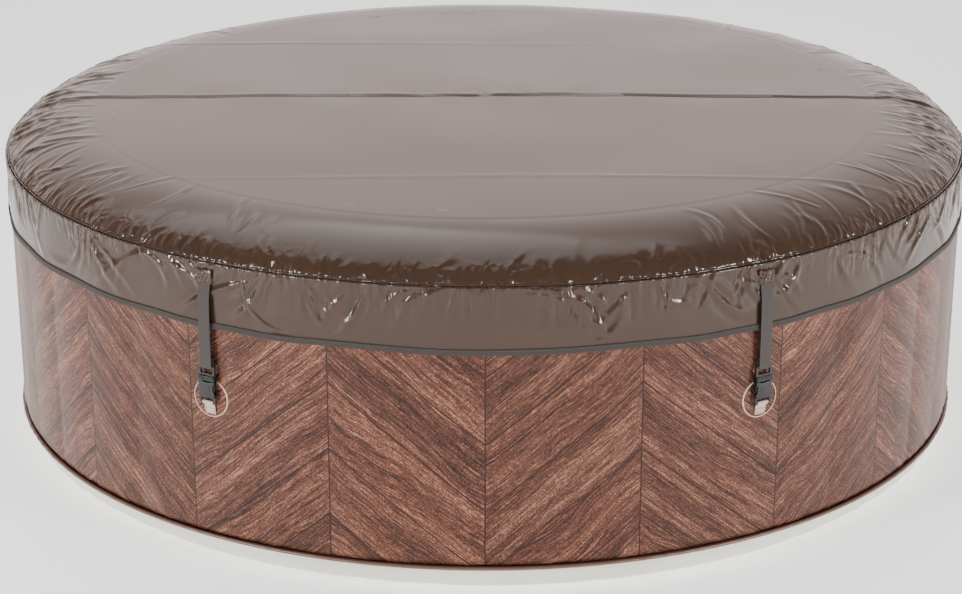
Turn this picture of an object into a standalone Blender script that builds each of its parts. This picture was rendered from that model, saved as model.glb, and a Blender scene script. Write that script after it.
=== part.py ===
"""Round inflatable hot tub with a buckled cover and a built-in heater and bubble unit."""
import math

import bmesh
import bpy
from mathutils import Matrix, Vector

# ---- driving sizes, metres -------------------------------------------------
WALL_R = 1.020          # outside radius of the printed wall
WALL_WIDTH = 0.220      # air chamber, outside to inside
COVER_TOP_Z = 0.682     # middle of the closed cover
BASE_INSET = 0.056      # how far the base on the ground stays inside the wall
PRINT_Z = 0.057         # lower edge of the printed wall
CROWN = 0.005           # fall of the cover from its middle to its shoulder
SHOULDER_DROP = 0.068   # fall of the cover's shoulder down to the welt
SKIRT_H = 0.132         # welt to the skirt's lower edge
SKIRT_OUT = 0.0045      # how far the skirt stands outside the wall
SKIN = 0.0018           # laminated wall and cover sheet
BASE_T = 0.0024          # base and floor sheets
THIN = 0.0010           # lining, bladder and webs
GAP = 0.0004            # named clearance between pieces that touch
WEBS = 22               # radial webs inside the air chamber
STRAPS = 6              # straps and buckles round the rim
STRAP_W = 0.025
STRAP_T = 0.0013
BUCKLE_DROP = 0.133     # hem down to the lower end of the buckle's socket
BUCKLE_RAIL = 0.0045    # side rails that guide the webbing
BUCKLE_T = 0.013
SOCKET_H = 0.0335
PATCH_R = 0.0385
PATCH_T = 0.002
BLADDER_H = 0.060       # air cushion under the cover
CHANNEL_Z = 0.030       # bubble channel's lower edge
AIR_VALVE_DROP = 0.0790 # hem down to the air valve's middle
DRAIN_Z = 0.120         # drain's middle
UNIT_W = 0.340          # built-in heater unit
UNIT_DEPTH = 0.180
UNIT_DROP = 0.118       # cover top down to the unit's rim
UNIT_WALL = 0.004
SHELF_Z = 0.300         # shelf that the blower stands on
FILTER_R = 0.052
FILTER_CORE_R = 0.022
FILTER_L = 0.088
PUMP_R = 0.055
BLOWER_R = 0.060
HEATER_R = 0.030
NOZZLE_R = 0.018
BUTTON_R = 0.012
SEGMENTS = 48

FLAT = math.cos(math.pi / SEGMENTS)     # middle of a facet over its corner
STEP = 360 / SEGMENTS
INNER_R = WALL_R - WALL_WIDTH
BASE_R = WALL_R - BASE_INSET
SKIRT_R = WALL_R + SKIRT_OUT
WALL_FACE = WALL_R * FLAT
SKIRT_FACE = SKIRT_R * FLAT
WELT_Z = COVER_TOP_Z - CROWN - SHOULDER_DROP + 0.002
HEM_Z = WELT_Z - SKIRT_H
BUCKLE_Z = HEM_Z - BUCKLE_DROP
FLOOR_Z = BASE_T + GAP
UNIT_TOP = COVER_TOP_Z - UNIT_DROP
UNIT_LOW = FLOOR_Z + BASE_T + GAP
UNIT_BACK = math.sqrt((INNER_R * FLAT) ** 2 - (UNIT_W / 2) ** 2) - GAP
UNIT_FRONT = UNIT_BACK - UNIT_DEPTH


# ---- materials -------------------------------------------------------------
def hex_rgb(code):
    parts = [int(code[i:i + 2], 16) / 255 for i in (1, 3, 5)]
    return [c / 12.92 if c < 0.04045 else ((c + 0.055) / 1.055) ** 2.4 for c in parts]


def material(name, code, rough, metallic=0.0):
    found = bpy.data.materials.get(name)
    if found:
        return found
    mat = bpy.data.materials.new(name)
    mat.use_nodes = True
    shader = mat.node_tree.nodes["Principled BSDF"]
    shader.inputs["Base Color"].default_value = hex_rgb(code) + [1.0]
    shader.inputs["Roughness"].default_value = rough
    shader.inputs["Metallic"].default_value = metallic
    mat.diffuse_color = hex_rgb(code) + [1.0]
    return mat


PRINTED = ("printed_wall", "#7B5547", 0.45)
COVER = ("cover_vinyl", "#8F837B", 0.40)
BINDING = ("edge_binding", "#6F6860", 0.85)
BASE = ("base_vinyl", "#CFCDC2", 0.55)
POOL = ("pool_vinyl", "#B9BDBD", 0.40)
FILM = ("thin_vinyl", "#A9ACAB", 0.45)
WEBBING = ("webbing", "#66605A", 0.90)
BLACK = ("buckle_plastic", "#1A1A1A", 0.45)
UNIT = ("unit_plastic", "#4A4845", 0.50)
TRIM = ("trim_plastic", "#C8C8C4", 0.40)
FILTER = ("filter_paper", "#E8E6DE", 0.90)
STEEL = ("heater_steel", "#B5B7B8", 0.30, 1.0)
BOARD = ("circuit_board", "#1F5A38", 0.50)


# ---- mesh helpers ----------------------------------------------------------
def finish(name, bm, look, place=None):
    if place is not None:
        bmesh.ops.transform(bm, matrix=place, verts=bm.verts)
    bmesh.ops.recalc_face_normals(bm, faces=bm.faces)
    mesh = bpy.data.meshes.new(name)
    bm.to_mesh(mesh)
    bm.free()
    mesh.materials.append(material(*look))
    obj = bpy.data.objects.new(name, mesh)
    bpy.context.scene.collection.objects.link(obj)
    return obj


def around(azimuth):
    """Turn a piece made at the front (-Y) to an azimuth in degrees; +X is +90."""
    return Matrix.Rotation(math.radians(azimuth), 4, "Z")


def facing(azimuth, distance, height):
    """Local Z points out of the wall at an azimuth, from a distance off the tub's axis."""
    outwards = Matrix.Translation((0, -distance, height)) @ Matrix.Rotation(math.pi / 2, 4, "X")
    return around(azimuth) @ outwards


def upright(x, y, z):
    return Matrix.Translation((x, y, z))


def full_turn(segments=SEGMENTS):
    """Corner azimuths; the front, both sides and every strap meet a facet's middle."""
    return [((i + 0.5) * 360 / segments, 1.0) for i in range(segments)]


def part_turn(start, end):
    """Corners between two azimuths that each fall in the middle of a facet."""
    count = round((end - start) / STEP)
    inside = [(start + (i + 0.5) * STEP, 1.0) for i in range(count)]
    return [(start, FLAT)] + inside + [(end, FLAT)]


def turned(name, profile, look, stations=None, closed=True, place=None):
    """Turn a closed (radius, height) outline about Z."""
    stations = stations or full_turn()
    bm = bmesh.new()
    poles = {p: bm.verts.new((0, 0, p[1])) for p in profile if p[0] == 0}
    rows = []
    for azimuth, scale in stations:
        s, c = math.sin(math.radians(azimuth)), math.cos(math.radians(azimuth))
        row = []
        for p in profile:
            r = p[0] * scale
            row.append(poles[p] if p in poles else bm.verts.new((r * s, -r * c, p[1])))
        rows.append(row)
    count = len(rows) if closed else len(rows) - 1
    for i in range(count):
        a, b = rows[i], rows[(i + 1) % len(rows)]
        for j in range(len(profile)):
            k = (j + 1) % len(profile)
            corners = []
            for v in (a[j], a[k], b[k], b[j]):
                if v not in corners:
                    corners.append(v)
            if len(corners) > 2:
                bm.faces.new(corners)
    if not closed:
        bm.faces.new(rows[0])
        bm.faces.new(rows[-1])
    return finish(name, bm, look, place)


def offset(points, distance):
    """Move an open (radius, height) line sideways, to its left for a plus."""
    moved = []
    for i, p in enumerate(points):
        a = Vector(points[max(i - 1, 0)])
        b = Vector(points[min(i + 1, len(points) - 1)])
        along = (b - a).normalized()
        r = p[0] - along.y * distance
        moved.append((0 if p[0] == 0 else r, p[1] + along.x * distance))
    return moved


def skin(points, thickness):
    """Closed outline of a sheet; the given line is one of its faces."""
    return points + offset(points, thickness)[::-1]


def shoulder(start, reach, drop, angles):
    """Points on an ellipse that leaves start level and falls drop while it goes reach."""
    turns = [math.radians(a) for a in angles]
    return [(start[0] + reach * math.sin(t), start[1] - drop * (1 - math.cos(t))) for t in turns]


def height_on(line, r):
    for (r0, z0), (r1, z1) in zip(line, line[1:]):
        if r0 <= r <= r1:
            return z0 + (z1 - z0) * (r - r0) / (r1 - r0)
    return line[-1][1]


def blocks(name, solids, hollows, look, place=None):
    """One body from boxes (x0, x1, y0, y1, z0, z1), with boxes taken away."""
    cuts = [sorted({v for b in solids + hollows for v in b[2 * a:2 * a + 2]}) for a in range(3)]

    def covered(centre, boxes):
        return any(all(b[2 * a] < centre[a] < b[2 * a + 1] for a in range(3)) for b in boxes)

    def filled(cell):
        if any(cell[a] < 0 or cell[a] > len(cuts[a]) - 2 for a in range(3)):
            return False
        centre = [(cuts[a][cell[a]] + cuts[a][cell[a] + 1]) / 2 for a in range(3)]
        return covered(centre, solids) and not covered(centre, hollows)

    bm = bmesh.new()
    corners = {}

    def corner(index):
        if index not in corners:
            corners[index] = bm.verts.new([cuts[a][index[a]] for a in range(3)])
        return corners[index]

    cells = [(i, j, k) for i in range(len(cuts[0]) - 1)
             for j in range(len(cuts[1]) - 1) for k in range(len(cuts[2]) - 1)]
    for cell in filter(filled, cells):
        for a in range(3):
            for side in (0, 1):
                beside = list(cell)
                beside[a] += 2 * side - 1
                if filled(beside):
                    continue
                u, v = (a + 1) % 3, (a + 2) % 3
                ring = []
                for du, dv in ((0, 0), (1, 0), (1, 1), (0, 1)):
                    index = list(cell)
                    index[a] += side
                    index[u] += du
                    index[v] += dv
                    ring.append(corner(tuple(index)))
                bm.faces.new(ring if side else ring[::-1])
    return finish(name, bm, look, place)


def extruded(name, outline, half_width, look, place=None):
    """A (distance from the tub's axis, height) outline pulled along X at the front."""
    bm = bmesh.new()
    left = [bm.verts.new((-half_width, -p[0], p[1])) for p in outline]
    right = [bm.verts.new((half_width, -p[0], p[1])) for p in outline]
    bm.faces.new(left)
    bm.faces.new(right[::-1])
    for i in range(len(outline)):
        k = (i + 1) % len(outline)
        bm.faces.new((left[i], right[i], right[k], left[k]))
    return finish(name, bm, look, place)


def combine(obj, other, operation):
    """Boolean kept as a modifier; the other solid only shapes this one."""
    mod = obj.modifiers.new(operation.lower() + "_" + other.name, "BOOLEAN")
    mod.operation = operation
    mod.solver = "EXACT"
    mod.object = other
    other.hide_render = True
    other.display_type = "WIRE"


def drill(obj, name, radius, low, high, place, segments=24):
    """Round hole along the placed Z axis."""
    pin = [(0.0, low), (radius, low), (radius, high), (0.0, high)]
    combine(obj, turned(name, pin, BLACK, full_turn(segments), place=place), "DIFFERENCE")


# ---- cover shape, from the middle outwards -----------------------------------
SHOULDER_TURN = 79.5    # degrees of the ellipse that the shoulder uses
SHOULDER_START = (WALL_R - WALL_WIDTH * 0.82, COVER_TOP_Z - CROWN)
SHOULDER_REACH = (WALL_R - 0.0015 - SHOULDER_START[0]) / math.sin(math.radians(SHOULDER_TURN))
SHOULDER_FALL = SHOULDER_DROP / (1 - math.cos(math.radians(SHOULDER_TURN)))
COVER_LINE = [(0.0, COVER_TOP_Z), (INNER_R * 0.62, COVER_TOP_Z - CROWN / 10), SHOULDER_START]
COVER_LINE += shoulder(SHOULDER_START, SHOULDER_REACH, SHOULDER_FALL, (18, 36, 50, 62, 72, SHOULDER_TURN))


# ---- tub body --------------------------------------------------------------
LIP_Z = PRINT_Z - 0.0046
LIP_H = 0.008
WALL_LOW = LIP_Z + LIP_H + GAP
WALL_TOP = WELT_Z - 0.0065
WALL_ROUND = 0.030      # height over which the wall turns in at its two edges


def build_base():
    sheet_r = BASE_R - 0.006
    sheet = [(0.0, 0.0), (sheet_r, 0.0), (sheet_r, BASE_T), (0.0, BASE_T)]
    turned("base_sheet", sheet, BASE)
    foot = WALL_R - 0.0085
    side = [(sheet_r + GAP, 0.0), (BASE_R, 0.0)]
    for r, z in shoulder((BASE_R, 0.0), foot - BASE_R, -(LIP_Z - 0.010), (30, 60, 90)):
        side.append((r, z))
    side.append((foot, LIP_Z - GAP))
    turned("base_side", skin(side, BASE_T), BASE)
    lip_in, lip_out, edge = WALL_R - 0.0115, WALL_R + 0.005, 0.002
    lip = [(lip_in, LIP_Z), (lip_out - edge, LIP_Z), (lip_out, LIP_Z + edge),
           (lip_out, LIP_Z + LIP_H - edge), (lip_out - edge, LIP_Z + LIP_H), (lip_in, LIP_Z + LIP_H)]
    turned("base_weld_lip", lip, PRINTED)


def build_walls():
    """Printed outer wall, rim over the air chamber, pool wall and pool floor."""
    neck = WALL_R - 0.0055
    wall = [(WALL_R - 0.004, WALL_LOW), (WALL_R, WALL_LOW + WALL_ROUND),
            (WALL_R, WALL_TOP - WALL_ROUND), (neck, WALL_TOP)]
    turned("outer_wall_skin", skin(wall, SKIN), PRINTED)
    under = offset(COVER_LINE, -(SKIN + GAP))[3:-1][::-1]
    reach = WALL_WIDTH / 4
    crest = (INNER_R + reach, height_on(COVER_LINE, INNER_R + reach) - SKIN - 0.006)
    inside = [crest] + shoulder(crest, -reach, 0.070, (35, 62, 90))
    foot = (INNER_R, inside[-1][1] - 0.010)
    rim = [(neck, WALL_TOP + GAP), (neck, WALL_TOP + 0.005)] + under + inside + [foot]
    turned("rim_skin", skin(rim, SKIN), COVER)
    pool = [(INNER_R, foot[1] - GAP * 2), (INNER_R, FLOOR_Z)]
    turned("inner_wall_skin", skin(pool, SKIN), POOL)
    floor_r = INNER_R - GAP
    floor = [(0.0, FLOOR_Z), (floor_r, FLOOR_Z), (floor_r, FLOOR_Z + BASE_T), (0.0, FLOOR_Z + BASE_T)]
    turned("floor_sheet", floor, POOL)


def build_webs():
    """Radial webs and the band that ties them, inside the air chamber."""
    low, high = WALL_LOW + WALL_ROUND + 0.001, WALL_TOP - WALL_ROUND - 0.001
    band_r = INNER_R + WALL_WIDTH / 2
    band = [(band_r, low), (band_r + THIN, low), (band_r + THIN, high), (band_r, high)]
    web_ring = turned("wall_baffles", band, FILM)
    inner = INNER_R + SKIN + GAP
    outer = (WALL_R - SKIN) * FLAT - GAP
    bm = bmesh.new()
    for i in range(WEBS):
        made = bmesh.ops.create_cube(bm, size=1.0)["verts"]
        size = Matrix.Diagonal((THIN, outer - inner, high - low - 0.004, 1))
        spot = Matrix.Translation((0, -(outer + inner) / 2, (high + low) / 2))
        bmesh.ops.transform(bm, matrix=around(i * 360 / WEBS) @ spot @ size, verts=made)
    combine(web_ring, finish("web_cutter", bm, FILM), "UNION")


def build_bubble_channel():
    """Air channel round the foot of the pool wall, open where the unit stands."""
    wall, high, deep = INNER_R - GAP, 0.045, 0.019
    tube = [(wall, CHANNEL_Z), (wall, CHANNEL_Z + high), (wall - deep * 0.63, CHANNEL_Z + high * 0.91),
            (wall - deep, CHANNEL_Z + high / 2), (wall - deep * 0.63, CHANNEL_Z + high * 0.09)]
    behind = math.degrees(math.asin(UNIT_W / 2 / (wall - deep))) + 1
    end = 180 - math.ceil(behind / STEP) * STEP
    turned("bubble_channel", tube, POOL, part_turn(-end, end), closed=False)


def build_port(name, azimuth, height, radius):
    """Port on the wall: a flanged socket, and a cap with a plug and a grip bar."""
    place = facing(azimuth, WALL_FACE, height)
    flange, neck, bore = 0.003, radius * 0.70, radius * 0.55
    mouth = 0.009
    body = [(0.0, GAP), (radius, GAP), (radius, flange), (neck, flange + 0.0006), (neck, mouth),
            (bore, mouth), (bore, flange - GAP), (0.0, flange - GAP)]
    turned(name + "_body", body, TRIM, full_turn(20), place=place)
    plug, rim, top = bore - GAP, radius * 0.82, mouth + 0.005
    cap = [(0.0, flange), (plug, flange), (plug, mouth + GAP), (rim, mouth + GAP),
           (rim, top - 0.0015), (rim * 0.9, top), (0.0, top)]
    cap_obj = turned(name + "_cap", cap, BLACK, full_turn(20), place=place)
    reach = rim * 0.73
    grip = [(-reach, reach, -0.003, 0.003, top - 0.001, top + 0.004)]
    combine(cap_obj, blocks(name + "_grip_cutter", grip, [], BLACK, place), "UNION")


# ---- straps and buckles ------------------------------------------------------
BUCKLE_NEAR = PATCH_T + GAP * 2         # buckle's back face, out from the wall
BUCKLE_FAR = BUCKLE_NEAR + BUCKLE_T
BAR_NEAR = BUCKLE_NEAR + BUCKLE_T / 2 - 0.0025
BAR_FAR = BAR_NEAR + 0.005
SLOT_HALF = STRAP_W / 2 + 0.001         # webbing slot in a buckle half
BUCKLE_HALF = SLOT_HALF + BUCKLE_RAIL
PRONG_Z = BUCKLE_Z + SOCKET_H + GAP     # shoulder of the pronged half
BAR_Z = PRONG_Z + 0.0245                # bar that the strap goes round
SOCKET_WALL = 0.0022
FAR_AWAY = 1.0


def front_box(x0, x1, n0, n1, z0, z1):
    """Box at the front; n is the distance out from the wall's facet."""
    return (x0, x1, -(WALL_FACE + n1), -(WALL_FACE + n0), z0, z1)


def build_socket(index, azimuth):
    """Round patch with its webbing loop, and the socket half of the buckle."""
    patch = [(0.0, GAP), (PATCH_R, GAP), (PATCH_R, GAP + PATCH_T), (0.0, GAP + PATCH_T)]
    place = facing(azimuth, WALL_FACE, BUCKLE_Z - 0.005)
    pad = turned("patch_%d" % index, patch, PRINTED, full_turn(24), place=place)
    z = BUCKLE_Z
    half = STRAP_W / 2 - 0.001
    hole_near, hole_far = BAR_NEAR - GAP, BAR_FAR + GAP
    loop = [front_box(-half, half, hole_near - STRAP_T, hole_far + STRAP_T, z - 0.0146, z - 0.0072),
            front_box(-half, half, PATCH_T - 0.0006, hole_near, z - 0.0190, z - 0.0134)]
    hole = [front_box(-FAR_AWAY, FAR_AWAY, hole_near, hole_far, z - 0.0134, z - 0.0084)]
    band = blocks("loop_cutter_%d" % index, loop, hole, WEBBING, around(azimuth))
    combine(pad, band, "UNION")
    wall = SOCKET_WALL
    inside = BUCKLE_HALF - 0.0025
    solid = [front_box(-BUCKLE_HALF, BUCKLE_HALF, BUCKLE_NEAR, BUCKLE_FAR, z, z + SOCKET_H),
             front_box(-BUCKLE_HALF, BUCKLE_HALF, BAR_NEAR, BAR_FAR, z - 0.0130, z)]
    mouth = front_box(-inside, inside, BUCKLE_NEAR + wall, BUCKLE_FAR - wall, z + 0.006, FAR_AWAY)
    window = front_box(-FAR_AWAY, FAR_AWAY, BUCKLE_NEAR + wall + 0.0014, BUCKLE_FAR - wall - 0.0014,
                       z + 0.011, z + 0.025)
    slot = front_box(-SLOT_HALF, SLOT_HALF, 0, FAR_AWAY, z - 0.0088, z)
    blocks("buckle_socket_%d" % index, solid, [mouth, window, slot], BLACK, around(azimuth))


def build_prong(index, azimuth):
    """Pronged half of the buckle: shoulder, frame for the strap, two prongs and a guide."""
    z = PRONG_Z
    reach = BUCKLE_HALF - 0.0028
    slim = SOCKET_WALL + 0.0005
    solid = [front_box(-BUCKLE_HALF, BUCKLE_HALF, BUCKLE_NEAR, BUCKLE_FAR, z, z + 0.0085),
             front_box(-BUCKLE_HALF, BUCKLE_HALF, BAR_NEAR, BAR_FAR, z, BAR_Z + 0.004),
             front_box(-reach, reach, BUCKLE_NEAR + slim, BUCKLE_FAR - slim, z - 0.0235, z)]
    gap_top = z - 0.002
    hollow = [front_box(-SLOT_HALF, SLOT_HALF, 0, FAR_AWAY, z + 0.0130, BAR_Z),
              front_box(-reach + 0.004, -0.003, 0, FAR_AWAY, z - 0.03, gap_top),
              front_box(0.003, reach - 0.004, 0, FAR_AWAY, z - 0.03, gap_top)]
    blocks("buckle_prong_%d" % index, solid, hollow, BLACK, around(azimuth))


def build_strap(index, azimuth):
    """Webbing sewn to the skirt under the welt, down to a turn round the buckle's bar."""
    sewn_top, sewn_low, free = WELT_Z - 0.0175, WELT_Z - 0.0435, WELT_Z - 0.0715
    near, front, back = SKIRT_FACE + GAP, WALL_FACE + BAR_FAR + GAP, WALL_FACE + BAR_NEAR - GAP
    turn, tail = BAR_Z - GAP, BAR_Z + 0.020
    t = STRAP_T
    line = [(near, sewn_top), (near, sewn_low), (front, free), (front, turn),
            (back, turn), (back, tail), (back - t, tail), (back - t, turn - t),
            (front + t, turn - t), (front + t, free), (near + t, sewn_low), (near + t, sewn_top)]
    extruded("strap_%d" % index, line, STRAP_W / 2, WEBBING, around(azimuth))


# ---- cover -----------------------------------------------------------------
def build_cover_top():
    shell = skin(COVER_LINE, -SKIN)
    for name, start, side in (("cover_top_front", -90, -1), ("cover_top_rear", 90, 1)):
        place = upright(0, side * GAP / 2, 0)
        turned(name, shell, COVER, part_turn(start, start + 180), closed=False, place=place)
    over = [(r * FLAT, z) for r, z in offset(COVER_LINE, GAP)[:-1]]
    low = [(-r, z) for r, z in over[1:]][::-1] + over
    tape = low + [(x, z + 0.001) for x, z in low][::-1]
    extruded("cover_seam_tape", tape, 0.012, BINDING, around(90))


def build_cover_edge():
    """Hanging skirt, the piping above it and the binding along its lower edge."""
    binding_h, binding_out, piping_half = 0.012, 0.003, 0.0045
    top = WELT_Z - piping_half
    skirt = [(SKIRT_R, HEM_Z + binding_h + GAP), (SKIRT_R, top)]
    turned("cover_skirt", skin(skirt, SKIN), COVER)
    inner, outer, edge = COVER_LINE[-1][0] + 0.0007, SKIRT_R + binding_out, 0.002
    welt = [(inner, top + GAP), (outer - edge, top + GAP), (outer, WELT_Z - edge),
            (outer, WELT_Z + edge), (outer - edge, WELT_Z + piping_half), (inner, WELT_Z + piping_half)]
    turned("cover_welt", welt, COVER)
    inner = SKIRT_R - SKIN - 0.0015
    hem = [(inner, HEM_Z), (outer, HEM_Z), (outer, HEM_Z + binding_h), (inner, HEM_Z + binding_h)]
    turned("cover_hem", hem, BINDING)


def build_cover_lining():
    """Lining hung under the cover, and the air cushion it holds, with the cushion's valve."""
    edge = height_on(COVER_LINE, INNER_R) - SKIN - GAP
    low = COVER_TOP_Z - SKIN - BLADDER_H
    lining = [(INNER_R, edge), (INNER_R - 0.003, edge - 0.021), (INNER_R - 0.010, low + 0.0095),
              (INNER_R - 0.025, low - 0.0015), (0.0, low - 0.0055)]
    turned("cover_lining", skin(lining, -THIN), FILM)
    top = COVER_TOP_Z - SKIN - GAP * 2
    mouth = 0.012
    shell = [(mouth, top), (INNER_R * 0.62, top - 0.001), (INNER_R - 0.055, top - 0.006),
             (INNER_R - 0.022, edge - 0.0155), (INNER_R - 0.0145, edge - 0.0285),
             (INNER_R - 0.021, low + 0.0095), (INNER_R - 0.040, low + 0.0007), (0.0, low - 0.0033)]
    turned("cover_bladder", skin(shell, -THIN), FILM)
    plug_r = mouth - GAP
    plug = [(0.0, top - 0.012), (plug_r, top - 0.012), (plug_r, top), (0.0, top)]
    turned("bladder_valve", plug, TRIM, full_turn(16))


# ---- built-in unit -----------------------------------------------------------
STAND_Z = UNIT_LOW + UNIT_WALL + GAP    # what stands on the case's floor
FILTER_AT = (-0.070, 0.200)
RETURN_AT = (0.110, 0.150)
MOTOR_Y = UNIT_FRONT + 0.090
HEATER_Y = UNIT_FRONT + 0.100
HOUSING_WALL = 0.004
HOUSING_DEPTH = 0.050
SHAFT_R = 0.005
RUNNING_GAP = 0.0003


def pool_side(x, z):
    """Local Z out of the unit's front face."""
    return upright(x, UNIT_FRONT, z) @ Matrix.Rotation(math.pi / 2, 4, "X")


def build_case():
    half, front, back, wall = UNIT_W / 2, UNIT_FRONT, UNIT_BACK, UNIT_WALL
    solid = [(-half, half, front, back, UNIT_LOW, UNIT_TOP)]
    shelf_end = 0.040
    room = (-half + wall, half - wall, front + wall, back - wall)
    hollow = [room + (UNIT_LOW + wall, SHELF_Z), room + (SHELF_Z + wall, FAR_AWAY),
              (shelf_end, half - wall, front + wall, back - wall, SHELF_Z - 0.01, SHELF_Z + 0.01)]
    case = blocks("unit_case", solid, hollow, UNIT)
    drill(case, "filter_hole_cutter", FILTER_R + 0.006, -0.02, 0.02, pool_side(*FILTER_AT))
    drill(case, "return_hole_cutter", NOZZLE_R + GAP, -0.02, 0.02, pool_side(*RETURN_AT))


def build_lid():
    """Lid with a raised panel, three round keys and the boss that the supply cord leaves by."""
    half, front, back = UNIT_W / 2, UNIT_FRONT, UNIT_BACK
    low, plate, panel, gland = UNIT_TOP + GAP, 0.012, 0.017, 0.024
    boxes = [(-half, half, front, back, low, low + plate),
             (-half + 0.05, half - 0.05, front + 0.03, front + 0.11, low, low + panel),
             (half - 0.060, half - 0.036, back - 0.050, back - 0.026, low, low + gland)]
    lid = blocks("unit_lid", boxes, [], UNIT)
    floor, under = 0.004, 0.006
    for i in range(3):
        place = upright(0.070 * (i - 1), front + 0.055, low)
        drill(lid, "button_hole_cutter_%d" % (i + 1), BUTTON_R + GAP, floor, 0.03, place, 16)
        top = panel + 0.0025
        button = [(0.0, under), (BUTTON_R, under), (BUTTON_R, top - 0.001), (BUTTON_R - 0.001, top), (0.0, top)]
        turned("button_%d" % (i + 1), button, TRIM, full_turn(16), place=place)


def motor_housing(name, x, y, z, radius):
    """Bell housing that stands on its rim, open below, with the motor on top and its shaft inside."""
    depth, inside = HOUSING_DEPTH, radius - HOUSING_WALL
    roof = depth - HOUSING_WALL
    line = [(0.0, depth + 0.060), (radius * 0.65, depth + 0.060), (radius * 0.65, depth + 0.004),
            (radius, depth), (radius, 0.0), (inside, 0.0), (inside, roof),
            (SHAFT_R, roof), (SHAFT_R, 0.012), (0.0, 0.012)]
    turned(name, line, BLACK, full_turn(24), place=upright(x, y, z))


def rotor(name, x, y, z, housing_radius):
    """Hub and six blades that turn about Z inside a housing, on its shaft."""
    radius = housing_radius - HOUSING_WALL - 0.005
    hub, bore, height, blades = radius * 0.28, SHAFT_R + RUNNING_GAP, 0.026, 6
    rings = []
    bm = bmesh.new()
    for level in (0.0, height):
        outer, inner = [], []
        for i in range(blades):
            for step, r in ((-18, hub), (-6, radius), (6, radius), (18, hub)):
                a = math.radians(i * 360 / blades + step)
                outer.append(bm.verts.new((r * math.cos(a), r * math.sin(a), level)))
                inner.append(bm.verts.new((bore * math.cos(a), bore * math.sin(a), level)))
        rings += [outer, inner]
    low_out, low_in, top_out, top_in = rings
    count = len(low_out)
    for i in range(count):
        k = (i + 1) % count
        for a, b in ((low_out, low_in), (low_in, top_in), (top_in, top_out), (top_out, low_out)):
            bm.faces.new((a[i], a[k], b[k], b[i]))
    finish(name, bm, TRIM, upright(x, y, z + 0.014))


def build_filter():
    """Pleated cartridge behind the case's round opening, on the spigot of its cap."""
    core, spigot, plate = FILTER_CORE_R, FILTER_CORE_R - GAP, -0.012
    paper = [(core, plate - FILTER_L), (FILTER_R, plate - FILTER_L), (FILTER_R, plate), (core, plate)]
    turned("filter_cartridge", paper, FILTER, full_turn(24), place=pool_side(*FILTER_AT))
    seat, rim, crown = FILTER_R + 0.004, FILTER_R + 0.016, 0.018
    outline = [(0.0, -0.060), (spigot, -0.060), (spigot, plate + GAP), (seat, plate + GAP),
               (seat, GAP), (rim, GAP), (rim, crown - 0.006), (rim - 0.008, crown), (0.0, crown)]
    cap = turned("filter_cap", outline, TRIM, full_turn(24), place=pool_side(*FILTER_AT))
    slot, spacing, reach = 0.003, 0.018, FILTER_R * 0.7
    for i in range(5):
        x = spacing * (i - 2)
        box = (x - slot, x + slot, -reach, reach, crown - 0.004, crown + 0.01)
        cutter = blocks("slot_cutter_%d" % (i + 1), [box], [], TRIM, pool_side(*FILTER_AT))
        combine(cap, cutter, "DIFFERENCE")


def build_heater():
    """Upright heater tube on the case's floor, and the outlet nozzle in front of it."""
    tube_h = 0.345
    tube = [(0.0, 0.0), (HEATER_R, 0.0), (HEATER_R, tube_h), (HEATER_R * 0.53, tube_h + 0.015),
            (HEATER_R * 0.53, tube_h + 0.040), (0.0, tube_h + 0.040)]
    turned("heater_tube", tube, STEEL, full_turn(24), place=upright(RETURN_AT[0], HEATER_Y, STAND_Z))
    inner = -(HEATER_Y - HEATER_R - GAP - UNIT_FRONT)
    nozzle = [(0.0, 0.004), (0.012, 0.010), (0.022, 0.010), (0.028, GAP),
              (NOZZLE_R, GAP), (NOZZLE_R, inner), (0.0, inner)]
    turned("return_nozzle", nozzle, TRIM, full_turn(24), place=pool_side(*RETURN_AT))


def build_board():
    rear = UNIT_BACK - UNIT_WALL - GAP
    top = UNIT_TOP - 0.020
    board = [(0.005, 0.150, rear - 0.0016, rear, top - 0.120, top),
             (0.030, 0.060, rear - 0.016, rear, top - 0.100, top - 0.070),
             (0.080, 0.120, rear - 0.010, rear, top - 0.060, top - 0.020)]
    blocks("circuit_board", board, [], BOARD)


def build_unit():
    """Heater, pump and blower unit at the back of the pool."""
    build_case()
    build_lid()
    motor_housing("pump_body", FILTER_AT[0], MOTOR_Y, STAND_Z, PUMP_R)
    rotor("pump_impeller", FILTER_AT[0], MOTOR_Y, STAND_Z, PUMP_R)
    shelf = SHELF_Z + UNIT_WALL + GAP
    motor_housing("blower_body", FILTER_AT[0] - 0.010, MOTOR_Y, shelf, BLOWER_R)
    rotor("blower_fan", FILTER_AT[0] - 0.010, MOTOR_Y, shelf, BLOWER_R)
    build_filter()
    build_heater()
    build_board()


def build():
    for obj in list(bpy.data.objects):
        bpy.data.objects.remove(obj)
    build_base()
    build_walls()
    build_webs()
    build_bubble_channel()
    build_port("air_valve", 180 - 2 * STEP, HEM_Z - AIR_VALVE_DROP, 0.030)
    build_port("drain", 180 + 2 * STEP, DRAIN_Z, 0.026)
    build_cover_top()
    build_cover_edge()
    build_cover_lining()
    for i in range(STRAPS):
        azimuth = 30 + i * 360 / STRAPS
        build_socket(i + 1, azimuth)
        build_prong(i + 1, azimuth)
        build_strap(i + 1, azimuth)
    build_unit()


build()
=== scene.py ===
"""Looks of a round inflatable hot tub: wood-printed wall, strapped vinyl cover, unit inside."""
import math
import random

import bmesh
import bpy
import numpy as np
from mathutils import Matrix, Vector


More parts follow.
